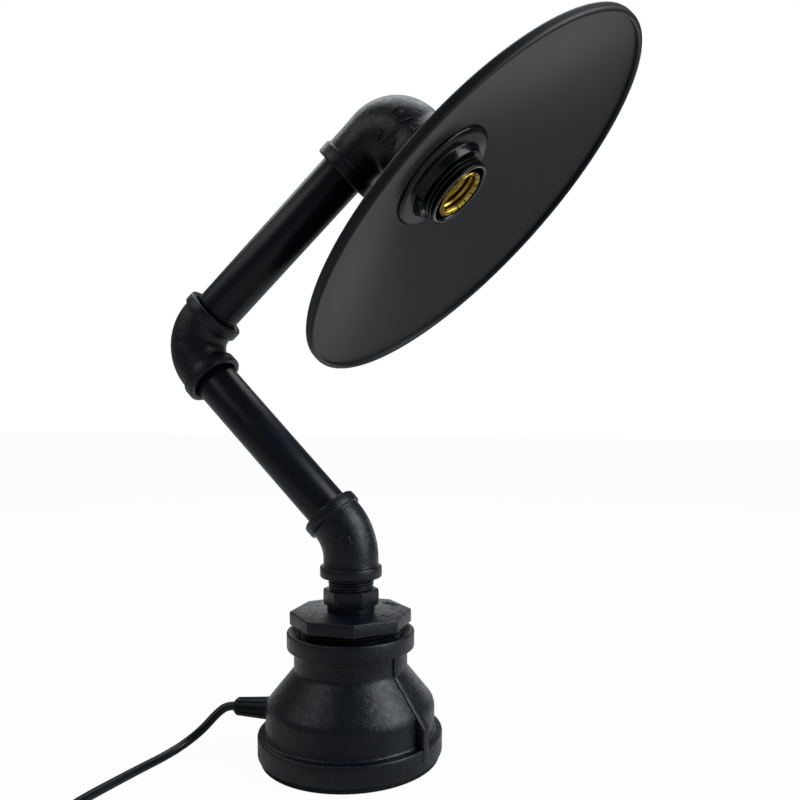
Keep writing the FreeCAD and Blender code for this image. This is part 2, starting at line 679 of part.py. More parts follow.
def make_front_ring():
    """Screwed ring that clamps the shade: a domed edge, a flat face and a cone up to the socket."""
    foot = SHADE_SEAT + SHADE_SHEET
    hole = SOCKET_RADIUS + SEAT_GAP
    dome = FRONT_RING_RADIUS - FRONT_RING_FACE_RADIUS
    return lathe([
        (hole, foot),
        (FRONT_RING_RADIUS, foot),
        (FRONT_RING_RADIUS, foot + FRONT_RING_EDGE - dome * 0.8),
        (FRONT_RING_RADIUS - dome * 0.3, foot + FRONT_RING_EDGE - dome * 0.25),
        (FRONT_RING_FACE_RADIUS, foot + FRONT_RING_EDGE),
        (FRONT_RING_HUB_RADIUS, foot + FRONT_RING_EDGE),
        (FRONT_RING_NOSE_RADIUS, foot + FRONT_RING_HEIGHT),
        (hole, foot + FRONT_RING_HEIGHT),
    ], third_corner, head_axis)


def make_back_ring():
    hole = SOCKET_RADIUS + SEAT_GAP
    return lathe([
        (hole, SHADE_SEAT - BACK_RING_HEIGHT),
        (BACK_RING_RADIUS - 1, SHADE_SEAT - BACK_RING_HEIGHT),
        (BACK_RING_RADIUS, SHADE_SEAT - BACK_RING_HEIGHT + 1),
        (BACK_RING_RADIUS, SHADE_SEAT),
        (hole, SHADE_SEAT),
    ], third_corner, head_axis)


# ================================================================ cord grip
grip_direction = Vector(math.cos(math.radians(GRIP_AZIMUTH)), math.sin(math.radians(GRIP_AZIMUTH)), 0)
GRIP_ROOT = BASE_BODY_RADIUS
GRIP_TIP = GRIP_ROOT + GRIP_OUTER_LENGTH


def make_cord_grip():
    """Moulded strain relief: a fluted taper outside the wall and a plain spigot through it."""
    seat = GRIP_ROOT - 1.0
    taper = lathe([
        (0, seat),
        (GRIP_ROOT_RADIUS, seat),
        (GRIP_TIP_RADIUS + 0.5, GRIP_TIP - 1.5),
        (GRIP_TIP_RADIUS - 0.8, GRIP_TIP),
        (0, GRIP_TIP),
    ])
    fall = (GRIP_ROOT_RADIUS - GRIP_TIP_RADIUS - 0.5) / (GRIP_TIP - 1.5 - seat)
    near = GRIP_ROOT + 3.0
    far = GRIP_TIP - 3.5
    near_radius = GRIP_ROOT_RADIUS - fall * (near - seat)
    far_radius = GRIP_ROOT_RADIUS - fall * (far - seat)
    corners = [
        Vector(near_radius - GRIP_FLUTE_DEPTH, -GRIP_FLUTE_WIDTH / 2, near),
        Vector(near_radius + 1, -GRIP_FLUTE_WIDTH / 2, near),
        Vector(far_radius + 1, -GRIP_FLUTE_WIDTH / 2, far),
        Vector(far_radius - GRIP_FLUTE_DEPTH, -GRIP_FLUTE_WIDTH / 2, far),
    ]
    flute = Part.Face(Part.makePolygon(corners + [corners[0]])).extrude(Vector(0, GRIP_FLUTE_WIDTH, 0))
    for index in range(GRIP_FLUTES):
        turned = flute.copy()
        turned.rotate(Vector(0, 0, 0), UP, 360.0 * index / GRIP_FLUTES)
        taper = taper.cut(turned)
    taper = stand(taper, UP * GRIP_HEIGHT, grip_direction)
    wall = Part.makeCylinder(BASE_BODY_RADIUS + SEAT_GAP, BASE_TOP)
    taper = taper.cut(wall)
    spigot = rod(GRIP_SPIGOT_RADIUS, UP * GRIP_HEIGHT, grip_direction,
                 GRIP_TIP - GRIP_OUTER_LENGTH - GRIP_SPIGOT_LENGTH, GRIP_ROOT + 4)
    lead_hole = rod(CORD_RADIUS + SEAT_GAP, UP * GRIP_HEIGHT, grip_direction,
                    GRIP_ROOT - 2 * GRIP_SPIGOT_LENGTH, GRIP_TIP + 5)
    return taper.fuse(spigot).cut(lead_hole).removeSplitter()


def make_grip_nut():
    """Lock nut on the spigot, tight against the inside of the wall."""
    in_thread = GRIP_HEIGHT - GRIP_NUT_RADIUS < PAD_HEIGHT + BASE_THREAD_DEPTH
    inner_wall = BASE_THREAD_RADIUS if in_thread else BASE_BODY_RADIUS - BASE_WALL
    flat_station = math.sqrt(inner_wall ** 2 - GRIP_NUT_RADIUS ** 2)
    foot = UP * (flat_station - GRIP_NUT_THICKNESS)
    nut = prism(6, GRIP_NUT_RADIUS * 2, GRIP_NUT_THICKNESS, 90, foot, 0.3)
    nut = stand(nut, UP * GRIP_HEIGHT, grip_direction)
    hole = rod(GRIP_SPIGOT_RADIUS + SEAT_GAP, UP * GRIP_HEIGHT, grip_direction,
               flat_station - 2 * GRIP_NUT_THICKNESS, flat_station + GRIP_NUT_THICKNESS)
    return nut.cut(hole)


# ================================================================ leads and cord
def path_wire(points):
    """Straight runs joined by tangent arcs, each as large as its two runs allow."""
    edges = []
    radii = []
    start = points[0]
    for index in range(1, len(points) - 1):
        before = points[index] - points[index - 1]
        after = points[index + 1] - points[index]
        turn = before.getAngle(after)
        radius = 0.45 * min(before.Length, after.Length) / math.tan(turn / 2)
        cut = radius * math.tan(turn / 2)
        into = points[index] - unit(before) * cut
        out = points[index] + unit(after) * cut
        bisector = unit(unit(after) - unit(before))
        top = points[index] + bisector * (radius / math.cos(turn / 2) - radius)
        edges.append(Part.LineSegment(start, into).toShape())
        edges.append(Part.Arc(into, top, out).toShape())
        radii.append(radius)
        start = out
    edges.append(Part.LineSegment(start, points[-1]).toShape())
    return Part.Wire(edges), radii


def make_tube(name, points, radius):
    wire, radii = path_wire(points)
    start = wire.Edges[0]
    direction = unit(start.Vertexes[1].Point - start.Vertexes[0].Point)
    profile = Part.Wire(Part.Circle(points[0], direction, radius).toShape())
    tube = wire.makePipeShell([profile], True, False)
    section = math.pi * radius ** 2 * wire.Length
    tightest = min(radii) if radii else 0
    print(f"{name}: length {wire.Length:.1f}, tightest arc {tightest:.1f}, "
          f"volume {tube.Volume:.0f} against {section:.0f}, valid {tube.isValid()}")
    return tube


def lead_base_points():
    inside = GRIP_ROOT - GRIP_SPIGOT_LENGTH - 15.5
    return [
        UP * GRIP_HEIGHT + grip_direction * GRIP_TIP,
        UP * GRIP_HEIGHT + grip_direction * inside,
        UP * (GRIP_HEIGHT + 16) + grip_direction * 7,
        UP * (GRIP_HEIGHT + 40),
        UP * E45_FOOT,
    ]


def lead_lower_points():
    return [
        UP * E45_FOOT,
        first_corner,
        second_corner - lower_axis * E90_LEG,
    ]


def lead_upper_points():
    return [
        second_corner - lower_axis * E90_LEG,
        second_corner,
        third_corner - upper_axis * HEAD_PIPE_LEG,
    ]


def lead_head_points():
    return [
        third_corner - upper_axis * HEAD_PIPE_LEG,
        third_corner,
        along_head(INSERT_BACK),
    ]


cord_exit = UP * GRIP_HEIGHT + grip_direction * GRIP_TIP
switch_left = SWITCH_CENTRE + Vector(-SWITCH_LENGTH / 2, 0, SWITCH_CORD_HEIGHT)
switch_right = SWITCH_CENTRE + Vector(SWITCH_LENGTH / 2, 0, SWITCH_CORD_HEIGHT)

# from the grip down to the table and along it to the switch
FIRST_RUN = [
    cord_exit,
    cord_exit + grip_direction * 5.5,
    cord_exit + grip_direction * 5.5 + Vector(-6.6, -0.3, -4.8),
    Vector(-92.4, 16.2, 12.2),
    Vector(-102.4, 9.6, 5.8),
    Vector(-112.3, -1.4, 3.0),
    Vector(-122.3, -16.6, CORD_REST),
    Vector(-132.8, -34.2, CORD_REST),
    Vector(-143.1, -52.2, CORD_REST),
    Vector(-151.0, -71.5, CORD_REST),
    Vector(-154.5, -92.0, CORD_REST),
    Vector(-151.5, -110.5, CORD_REST),
    Vector(-142.5, -127.0, CORD_REST + 0.2),
    Vector(-131.0, -138.2, CORD_REST + 1.1),
    switch_left + Vector(-7, 0, 0),
    switch_left,
]

# from the switch towards the outermost turn of the coil
SECOND_RUN = [
    switch_right,
    switch_right + Vector(6, 0, 0),
    switch_right + Vector(13, -0.3, -1.3),
    COIL_CENTRE + Vector(-14, 38.9, CORD_REST),
]

# out of the upper turns, over the lower ones, and down to the plug
TAIL_RUN = [
    COIL_CENTRE + Vector(16, 35.9, 8.6),
    COIL_CENTRE + Vector(27, 36.1, 8.2),
    COIL_CENTRE + Vector(39, 36.8, 4.7),
    COIL_CENTRE + Vector(52, 37.2, CORD_REST + 0.1),
    COIL_CENTRE + Vector(65, 36.9, 4.2),
    PLUG_ENTRY + Vector(-10, 0, 0),
    PLUG_ENTRY,
]


def make_cord_coil():
    """The wound length as one ring: a row of turns side by side and a row nested on them."""
    foot = CORD_REST - CORD_RADIUS
    inner = COIL_INNER_TURN - CORD_RADIUS
    outer = COIL_INNER_TURN + (2 * COIL_BOTTOM_TURNS - 1) * CORD_RADIUS
    nested = CORD_RADIUS * math.sqrt(3)
    top_outer = COIL_INNER_TURN + 2 * COIL_TOP_TURNS * CORD_RADIUS
    level = 2 * CORD_RADIUS
    return lathe([
        (inner, foot),
        (outer, foot),
        (outer, foot + level),
        (top_outer, foot + level),
        (top_outer, foot + level + nested),
        (COIL_INNER_TURN, foot + level + nested),
        (COIL_INNER_TURN, foot + level),
        (inner, foot + level),
    ], COIL_CENTRE)


# ================================================================ switch
ROCKER_PIVOT = SWITCH_HEIGHT - 2.6


def switch_block(foot, height, inset, length_round):
    """A stadium-ended block, drawn about the switch's own centre."""
    length = SWITCH_LENGTH - 2 * inset
    width = SWITCH_WIDTH - 2 * inset
    block = Part.makeBox(length, width, height, Vector(-length / 2, -width / 2, foot))
    upright = [edge for edge in block.Edges
               if abs(edge.Vertexes[0].Point.z - edge.Vertexes[1].Point.z) > height / 2]
    return block.makeFillet(length_round - inset, upright)


def switch_cord_channels():
    origin = Vector(0, 0, SWITCH_CORD_HEIGHT)
    return Part.makeCylinder(CORD_RADIUS + SEAT_GAP, SWITCH_LENGTH + 4,
                             origin - Vector(SWITCH_LENGTH / 2 + 2, 0, 0), Vector(1, 0, 0))


def make_switch_lower():
    shell = switch_block(0, SWITCH_SPLIT, 0, 8)
    low_ring = [edge for edge in shell.Edges if max(v.Point.z for v in edge.Vertexes) < 0.01]
    shell = shell.makeChamfer(0.8, low_ring)
    shell = shell.cut(switch_block(SWITCH_WALL, SWITCH_SPLIT, SWITCH_WALL, 8))
    shell = shell.cut(switch_cord_channels())
    for x in (-SWITCH_SCREW_X, SWITCH_SCREW_X):
        post = Part.makeCylinder(3.2, SWITCH_SPLIT - 1, Vector(x, SWITCH_SCREW_Y, 1))
        shell = shell.fuse(post)
        below = Vector(x, SWITCH_SCREW_Y, -1)
        shell = shell.cut(Part.makeCylinder(SWITCH_SCREW_RADIUS + SEAT_GAP, SWITCH_SPLIT + 2, below))
        shell = shell.cut(Part.makeCylinder(SWITCH_SCREW_HEAD + 0.3, 2.4, below))
    shell.translate(SWITCH_CENTRE)
    return shell.removeSplitter()


def make_switch_upper():
    height = SWITCH_HEIGHT - SWITCH_SPLIT
    shell = switch_block(SWITCH_SPLIT, height, 0, 8)
    top_ring = [edge for edge in shell.Edges if min(v.Point.z for v in edge.Vertexes) > SWITCH_HEIGHT - 0.01]
    shell = shell.makeFillet(2.5, top_ring)
    hollow = switch_block(SWITCH_SPLIT - 1, height - SWITCH_WALL + 1, SWITCH_WALL, 8)
    shell = shell.cut(hollow)
    shell = shell.cut(switch_cord_channels())
    for x in (-SWITCH_SCREW_X, SWITCH_SCREW_X):
        post = Part.makeCylinder(3.2, height - 1, Vector(x, SWITCH_SCREW_Y, SWITCH_SPLIT))
        post = post.common(switch_block(SWITCH_SPLIT, height - 1, 1, 8))
        below = Vector(x, SWITCH_SCREW_Y, SWITCH_SPLIT - 1)
        hole = Part.makeCylinder(SWITCH_SCREW_RADIUS + SEAT_GAP, 5, below)
        shell = shell.fuse(post).cut(hole)
    window_length = ROCKER_LENGTH + 2 * ROCKER_ROOM
    window_width = ROCKER_WIDTH + 2 * ROCKER_ROOM
    window = Part.makeBox(window_length, window_width, 12,
                          Vector(-window_length / 2, -window_width / 2, SWITCH_SPLIT + 1))
    shell = shell.cut(window)
    # two cheeks under the window carry the rocker's pin
    for side in (-1, 1):
        near = ROCKER_WIDTH / 2 + ROCKER_ROOM
        low = min(side * near, side * (near + 2))
        cheek = Part.makeBox(8, 2, SWITCH_HEIGHT - 1 - SWITCH_SPLIT, Vector(-4, low, SWITCH_SPLIT))
        shell = shell.fuse(cheek)
    pin_hole = Part.makeCylinder(ROCKER_PIN_RADIUS + RUN_GAP, SWITCH_WIDTH - 2 * SWITCH_WALL,
                                 Vector(0, -SWITCH_WIDTH / 2 + SWITCH_WALL, ROCKER_PIVOT), Vector(0, 1, 0))
    shell = shell.cut(pin_hole)
    shell.translate(SWITCH_CENTRE)
    return shell.removeSplitter()


def make_rocker():
    """Rocker key with its two pin stubs, resting with its left end pressed down."""
    half = ROCKER_LENGTH / 2
    rise = SWITCH_HEIGHT + 1.8 - ROCKER_PIVOT
    sag = 1.2
    edges = [
        Part.Arc(Vector(-half, 0, rise), Vector(0, 0, rise - sag), Vector(half, 0, rise)),
        Part.LineSegment(Vector(half, 0, rise), Vector(half - 1.2, 0, -1.0)),
        Part.Arc(Vector(half - 1.2, 0, -1.0), Vector(0, 0, -3.4), Vector(-half + 1.2, 0, -1.0)),
        Part.LineSegment(Vector(-half + 1.2, 0, -1.0), Vector(-half, 0, rise)),
    ]
    face = Part.Face(Part.Wire([edge.toShape() for edge in edges]))
    key = face.extrude(Vector(0, ROCKER_WIDTH, 0))
    key.translate(Vector(0, -ROCKER_WIDTH / 2, 0))
    pin_length = ROCKER_WIDTH + 2 * ROCKER_ROOM + 3
    pin = Part.makeCylinder(ROCKER_PIN_RADIUS, pin_length, Vector(0, -pin_length / 2, 0), Vector(0, 1, 0))
    rocker = key.fuse(pin)
    rocker.rotate(Vector(0, 0, 0), Vector(0, 1, 0), -ROCKER_TILT)
    rocker.translate(SWITCH_CENTRE + UP * ROCKER_PIVOT)
    return rocker.removeSplitter()


def make_switch_contacts():
    """Two brass terminal blades standing in the lower shell."""
    blades = []
    for side in (-1, 1):
        strip = Part.makeBox(1.0, 5.0, SWITCH_SPLIT - SWITCH_WALL - 0.5,
                             Vector(side * 6.5 - 0.5, 3.6, SWITCH_WALL))
        foot = Part.makeBox(6.0, 5.0, 0.8, Vector(side * 9.0 - 3.0, 3.6, SWITCH_WALL))
        blades.append(strip.fuse(foot).removeSplitter())
    for blade in blades:
        blade.translate(SWITCH_CENTRE)
    return blades


def make_switch_screws():
    screws = []
    for x in (-SWITCH_SCREW_X, SWITCH_SCREW_X):
        shank = Part.makeCylinder(SWITCH_SCREW_RADIUS, SWITCH_SPLIT + 1.8, Vector(x, SWITCH_SCREW_Y, 1.4))
        head = Part.makeCylinder(SWITCH_SCREW_HEAD, 1.0, Vector(x, SWITCH_SCREW_Y, 0.4))
        slot_corner = Vector(x - SWITCH_SCREW_HEAD * 1.5, SWITCH_SCREW_Y - 0.35, 0.3)
        slot = Part.makeBox(SWITCH_SCREW_HEAD * 3, 0.7, 0.6, slot_corner)
        screw = shank.fuse(head).cut(slot).removeSplitter()
        screw.translate(SWITCH_CENTRE)
        screws.append(screw)
    return screws


# ================================================================ plug
def make_plug_body():
    """Moulded plug pointing along +X, with a waisted grip and a short cord sleeve."""
    half_w = PLUG_WIDTH / 2
    half_h = PLUG_HEIGHT / 2
    waist = half_w - 3.5
    entry = CORD_RADIUS + 1.85
    half_outline = [
        (0, entry),
        (9, entry + 0.6),
        (13, waist),
        (22, waist),
        (27, half_w),
        (PLUG_LENGTH, half_w),
    ]
    outline = [Vector(x, y, -half_h) for x, y in half_outline]
    outline += [Vector(x, -y, -half_h) for x, y in reversed(half_outline)]
    block = Part.Face(Part.makePolygon(outline + [outline[0]])).extrude(Vector(0, 0, PLUG_HEIGHT))
    half_side = [(0, entry), (10, entry + 0.4), (16, half_h), (PLUG_LENGTH, half_h)]
    side = [Vector(x, -half_w - 1, z) for x, z in half_side]
    side += [Vector(x, -half_w - 1, -z) for x, z in reversed(half_side)]
    profile = Part.Face(Part.makePolygon(side + [side[0]])).extrude(Vector(0, PLUG_WIDTH + 2, 0))
    body = block.common(profile)
    for sign in (-1, 1):
        body = body.cut(blade_box(sign, SEAT_GAP))
    body.translate(PLUG_ENTRY)
    return body.removeSplitter()


def blade_box(sign, grow):
    root = PLUG_LENGTH - BLADE_ROOT
    side = (sign * BLADE_SPACING - BLADE_THICKNESS) / 2
    corner = Vector(root - grow, side - grow, -BLADE_WIDTH / 2 - grow)
    return Part.makeBox(BLADE_ROOT + BLADE_LENGTH + grow, BLADE_THICKNESS + 2 * grow,
                        BLADE_WIDTH + 2 * grow, corner)


def make_plug_blades():
    blades = []
    for sign in (-1, 1):
        blade = blade_box(sign, 0)
        eye_foot = Vector(PLUG_LENGTH + BLADE_LENGTH - BLADE_EYE_INSET, -PLUG_WIDTH / 2, 0)
        eye = Part.makeCylinder(BLADE_EYE_RADIUS, PLUG_WIDTH, eye_foot, Vector(0, 1, 0))
        blade = blade.cut(eye)
        blade.translate(PLUG_ENTRY)
        blades.append(blade)
    return blades


# ================================================================ all pieces
save("base_pad", make_base_pad())
save("base_reducer", make_base_reducer())
save("octagon_bushing", make_octagon_bushing())
save("hex_nipple", make_hex_nipple())
save("cord_grip", make_cord_grip())
save("cord_grip_nut", make_grip_nut())
save("lead_base", make_tube("lead_base", lead_base_points(), CORD_RADIUS))

save("elbow_45", make_elbow_45())
save("lower_pipe", make_pipe(first_corner, lower_axis, E45_UPPER_LEG - THREAD_REACH,
                             LOWER_ARM_LENGTH - E90_LEG + THREAD_REACH))
save("lead_lower", make_tube("lead_lower", lead_lower_points(), CORD_RADIUS))

save("middle_elbow", make_middle_elbow())
save("upper_pipe", make_pipe(second_corner, upper_axis, E90_LEG - THREAD_REACH,
                             UPPER_ARM_LENGTH - HEAD_PIPE_LEG + THREAD_REACH))
save("lead_upper", make_tube("lead_upper", lead_upper_points(), CORD_RADIUS))

save("head_elbow", make_head_elbow())
save("lead_head", make_tube("lead_head", lead_head_points(), CORD_RADIUS))
save("socket_body", make_socket_body())
save("socket_insert", make_socket_insert())
save("screw_shell", make_screw_shell())
save("centre_contact", make_centre_contact())
save("terminal_screws", *make_terminal_screws())
save("shade", make_shade())
save("shade_ring_front", make_front_ring())
save("shade_ring_back", make_back_ring())

save("cord_first_run", make_tube("cord_first_run", FIRST_RUN, CORD_RADIUS))
save("cord_second_run", make_tube("cord_second_run", SECOND_RUN, CORD_RADIUS))
save("cord_coil", make_cord_coil())
save("cord_tail", make_tube("cord_tail", TAIL_RUN, CORD_RADIUS))
save("switch_lower_shell", make_switch_lower())
save("switch_upper_shell", make_switch_upper())
save("switch_rocker", make_rocker())
save("switch_contacts", *make_switch_contacts())
save("switch_screws", *make_switch_screws())
save("plug_body", make_plug_body())
save("plug_blades", *make_plug_blades())
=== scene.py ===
import math

import bmesh
import bpy
from mathutils import Matrix, Vector
from mathutils.bvhtree import BVHTree


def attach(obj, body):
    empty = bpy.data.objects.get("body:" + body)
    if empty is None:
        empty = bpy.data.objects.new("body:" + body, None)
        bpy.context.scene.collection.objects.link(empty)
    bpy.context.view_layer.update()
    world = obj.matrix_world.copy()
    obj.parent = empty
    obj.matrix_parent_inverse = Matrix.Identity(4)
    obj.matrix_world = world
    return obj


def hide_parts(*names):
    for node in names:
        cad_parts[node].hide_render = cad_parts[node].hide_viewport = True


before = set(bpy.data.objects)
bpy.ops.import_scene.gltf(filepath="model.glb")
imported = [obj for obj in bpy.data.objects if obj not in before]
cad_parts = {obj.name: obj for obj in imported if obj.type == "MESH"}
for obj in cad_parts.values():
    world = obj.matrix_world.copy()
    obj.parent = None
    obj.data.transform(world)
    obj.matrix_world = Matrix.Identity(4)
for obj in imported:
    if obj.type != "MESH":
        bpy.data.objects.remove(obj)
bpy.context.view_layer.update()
print("frame loaded with", len(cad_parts), "nodes")

# the pieces' sizes are in millimetres and angles in degrees
mm = 0.001
up = Vector((0, 0, 1))
joinDistance = 0.002 * mm

# the arm: three corners and the three axes it turns about
arm = {
    "azimuth": 155.0,
    "middleTwist": -6.0,
    "headTwist": -3.0,
    "firstHeight": 137.25,
    "lowerLength": 159.6,
    "upperLength": 183.2,
}

heading = math.radians(arm["azimuth"])
outward = Vector((math.cos(heading), math.sin(heading), 0))
across = up.cross(outward)
lowerAxis = (outward + up).normalized()
lowerBack = (up - outward).normalized()
middleTurn = math.radians(arm["middleTwist"])
upperAxis = lowerBack * math.cos(middleTurn) + across * math.sin(middleTurn)
upperAcross = across * math.cos(middleTurn) - lowerBack * math.sin(middleTurn)
headTurn = math.radians(arm["headTwist"])
headAxis = upperAcross * math.sin(headTurn) - lowerAxis * math.cos(headTurn)
firstCorner = up * arm["firstHeight"] * mm
secondCorner = firstCorner + lowerAxis * arm["lowerLength"] * mm
thirdCorner = secondCorner + upperAxis * arm["upperLength"] * mm


# small helpers
def linear(hexColour):
    channels = []
    for start in (0, 2, 4):
        value = int(hexColour[start:start + 2], 16) / 255
        channels.append(value / 12.92 if value <= 0.04045 else ((value + 0.055) / 1.055) ** 2.4)
    return (*channels, 1.0)


def smoothStep(share):
    return share * share * (3 - 2 * share)


def addNode(tree, kind, settings=None, links=None):
    node = tree.nodes.new("ShaderNode" + kind)
    for key, value in (settings or {}).items():
        if isinstance(key, int) or key in node.inputs:
            node.inputs[key].default_value = value
        else:
            setattr(node, key, value)
    for key, socket in (links or {}).items():
        tree.links.new(socket, node.inputs[key])
    return node


def newMaterial(name, shaderSettings):
    material = bpy.data.materials.new(name)
    material.use_nodes = True
    tree = material.node_tree
    tree.nodes.clear()
    shader = addNode(tree, "BsdfPrincipled", shaderSettings)
    addNode(tree, "OutputMaterial", links={"Surface": shader.outputs[0]})
    place = addNode(tree, "TexCoord").outputs["Object"]
    return material, tree, shader, place


def axisPlace(foot, axis):
    # carries something drawn round Z to a foot point and an axis
    return Matrix.Translation(foot) @ up.rotation_difference(axis).to_matrix().to_4x4()


def addPart(bm, part, place=None):
    if place is not None:
        bmesh.ops.transform(part, matrix=place, verts=part.verts)
    carrier = bpy.data.meshes.new("carrier")
    part.to_mesh(carrier)
    part.free()
    bm.from_mesh(carrier)
    bpy.data.meshes.remove(carrier)


def bevel(bm, geom, width, segments, kind="EDGES"):
    bmesh.ops.bevel(bm, geom=geom, offset=width * mm, segments=segments, profile=0.5,
                    affect=kind, material=-1)


def extrudeFaces(bm, faces, shift):
    grown = bmesh.ops.extrude_face_region(bm, geom=faces)["geom"]
    fresh = [item for item in grown if isinstance(item, bmesh.types.BMVert)]
    bmesh.ops.translate(bm, vec=shift, verts=fresh)


def prism(corners, radius, height):
    # a bar with a regular outline, standing on the XY plane
    bm = bmesh.new()
    bmesh.ops.create_circle(bm, cap_ends=True, radius=radius * mm, segments=corners)
    extrudeFaces(bm, bm.faces[:], (0, 0, height * mm))
    bmesh.ops.recalc_face_normals(bm, faces=bm.faces)
    return bm


def cornerTurn(azimuth, size=4):
    # brings a new circle's first corner, which is on +Y, to an azimuth
    return Matrix.Rotation(math.radians(azimuth - 90), size, "Z")


def turnedPart(profile, steps=128, closed=True, lead=0.0):
    # profile corners are (radius, height, rounding), turned once about Z, climbing by lead
    bm = bmesh.new()
    corners = [bm.verts.new((point[0] * mm, 0, point[1] * mm)) for point in profile]
    following = corners[1:] + corners[:1] if closed else corners[1:]
    for one, two in zip(corners, following):
        bm.edges.new((one, two))
    for corner, point in zip(corners, profile):
        rounding = point[2] if len(point) > 2 else 0
        if rounding > 0:
            bevel(bm, [corner], rounding, 3 if rounding < 2 else 6, "VERTICES")
    bmesh.ops.spin(bm, geom=bm.verts[:] + bm.edges[:], cent=(0, 0, 0), axis=(0, 0, 1),
                   dvec=(0, 0, lead * mm / steps), angle=2 * math.pi, steps=steps,
                   use_merge=lead == 0.0)
    return bm


def threadPart(crest, depth, pitch, low, high, flat, steps=96, taper=0.0):
    # a helical screw thread: a wavy profile turned once while it climbs one pitch
    # flat is half the crest's width as a share of the pitch, taper the growth per millimetre,
    # and a crest ends just short of the next root
    root = crest - depth
    profile = []
    height = low
    while height < high:
        wider = taper * (height - low)
        profile.append((root + wider, height))
        profile.append((crest + wider, height + pitch * (0.5 - flat)))
        profile.append((crest + wider, height + pitch * (0.5 + flat) * 0.999))
        height += pitch
    profile.append((root + taper * (height - low), height))
    return turnedPart(profile, steps, closed=False, lead=pitch)


def station(centre, side, flank, halfSide, halfFlank):
    # a placed frame whose X and Y lengths are a tube's two half widths
    forward = side.cross(flank).normalized()
    grid = Matrix((side * halfSide, flank * halfFlank, forward * halfSide)).transposed().to_4x4()
    return Matrix.Translation(centre) @ grid


def ringTube(stations, segments=72):
    bm = bmesh.new()
    ring = bmesh.ops.create_circle(bm, cap_ends=False, radius=1.0, segments=segments)
    bmesh.ops.transform(bm, matrix=stations[0], verts=ring["verts"])
    loop = bm.edges[:]
    for before, after in zip(stations, stations[1:]):
        grown = bmesh.ops.extrude_edge_only(bm, edges=loop)["geom"]
        fresh = [item for item in grown if isinstance(item, bmesh.types.BMVert)]
        loop = [item for item in grown if isinstance(item, bmesh.types.BMEdge)]
        loop = [edge for edge in loop if all(vert in fresh for vert in edge.verts)]
        bmesh.ops.transform(bm, matrix=after @ before.inverted(), verts=fresh)
    return bm


def finishPiece(name, bm, material, body, node, sharpAngle=38):
    bmesh.ops.remove_doubles(bm, verts=bm.verts, dist=joinDistance)
    bmesh.ops.recalc_face_normals(bm, faces=bm.faces)
    mesh = bpy.data.meshes.new(name)
    bm.to_mesh(mesh)
    bm.free()
    mesh.shade_smooth()
    mesh.set_sharp_from_angle(angle=math.radians(sharpAngle))
    mesh.materials.append(material)
    piece = bpy.data.objects.new(name, mesh)
    bpy.context.scene.collection.objects.link(piece)
    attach(piece, body)
    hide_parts(node)
    print("made", name, len(mesh.polygons), "faces")
    return piece


def turnedPiece(name, profile, steps, material, body, node, place=None):
    bm = bmesh.new()
    addPart(bm, turnedPart(profile, steps), place)
    finishPiece(name, bm, material, body, node)


# small mouldings keep the CAD node's own form, with its edges rounded off
softening = {"join": 0.001, "flatWithin": 1, "sharpAbove": 30, "bevelAbove": 28}


def softCopy(name, node, material, body, width, segments=2):
    bm = bmesh.new()
    bm.from_mesh(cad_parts[node].data)
    bmesh.ops.remove_doubles(bm, verts=bm.verts, dist=softening["join"] * mm)
    bmesh.ops.dissolve_limit(bm, angle_limit=math.radians(softening["flatWithin"]), verts=bm.verts,
                             edges=bm.edges, delimit={"NORMAL"})
    piece = finishPiece(name, bm, material, body, node, softening["sharpAbove"])
    edging = piece.modifiers.new("edging", "BEVEL")
    edging.width = width * mm
    edging.segments = segments
    edging.limit_method = "ANGLE"
    edging.angle_limit = math.radians(softening["bevelAbove"])
    edging.harden_normals = False
    return piece


# raised foundry size figures, drawn as strokes in a square of side 1
figureStrokes = {
    "1": [[(0.25, 0.78), (0.5, 1.0), (0.5, 0.0)]],
    "2": [[(0.12, 0.78), (0.3, 0.97), (0.62, 0.97), (0.8, 0.75), (0.62, 0.48), (0.12, 0.02),
           (0.85, 0.02)]],
    "3": [[(0.12, 0.88), (0.38, 1.0), (0.7, 0.88), (0.68, 0.62), (0.4, 0.53)],
          [(0.4, 0.53), (0.76, 0.42), (0.8, 0.15), (0.45, 0.0), (0.1, 0.12)]],
    "4": [[(0.68, 0.0), (0.68, 1.0), (0.08, 0.3), (0.92, 0.3)]],
    "/": [[(0.1, -0.08), (0.72, 1.08)]],
    "X": [[(0.12, 0.1), (0.82, 0.9)], [(0.12, 0.9), (0.82, 0.1)]],
}
figureLaying = {
    "advance": 0.92,    # from one figure to the next, as a share of their height
    "divisions": 4,     # points for each straight run of a stroke
    "startOut": 15,     # the casting's skin is looked for from here inwards
    "reach": 40,
    "relief": 0.8,      # these are shares of the stroke's half width
    "endWidth": 0.8,
    "tipWidth": 0.05,
    "tipLength": 0.6,
}


def strokePoints(line):
    divisions = figureLaying["divisions"]
    points = []
    for one, two in zip(line, line[1:]):
        for index in range(divisions):
            share = index / divisions
            points.append((one[0] + (two[0] - one[0]) * share, one[1] + (two[1] - one[1]) * share))
    return points + [line[-1]]


def strokeBead(laid, half):
    # a bead along points on the casting, half sunk into its skin and drawn out at both ends
    stations = []
    for index, (touch, normal) in enumerate(laid):
        before = laid[max(index - 1, 0)][0]
        after = laid[min(index + 1, len(laid) - 1)][0]
        width = half * figureLaying["endWidth"] if index in (0, len(laid) - 1) else half
        stations.append((touch, normal.cross(after - before).normalized(), normal, width))
    tips = []
    for end, inner in ((0, 1), (-1, -2)):
        touch, flank, normal, width = stations[end]
        overrun = (touch - laid[inner][0]).normalized() * half * figureLaying["tipLength"]
        tips.append((touch + overrun, flank, normal, half * figureLaying["tipWidth"]))
    stations = [tips[0]] + stations + [tips[1]]
    return ringTube([station(spot, flank, normal, width, width * figureLaying["relief"])
                     for spot, flank, normal, width in stations], 10)


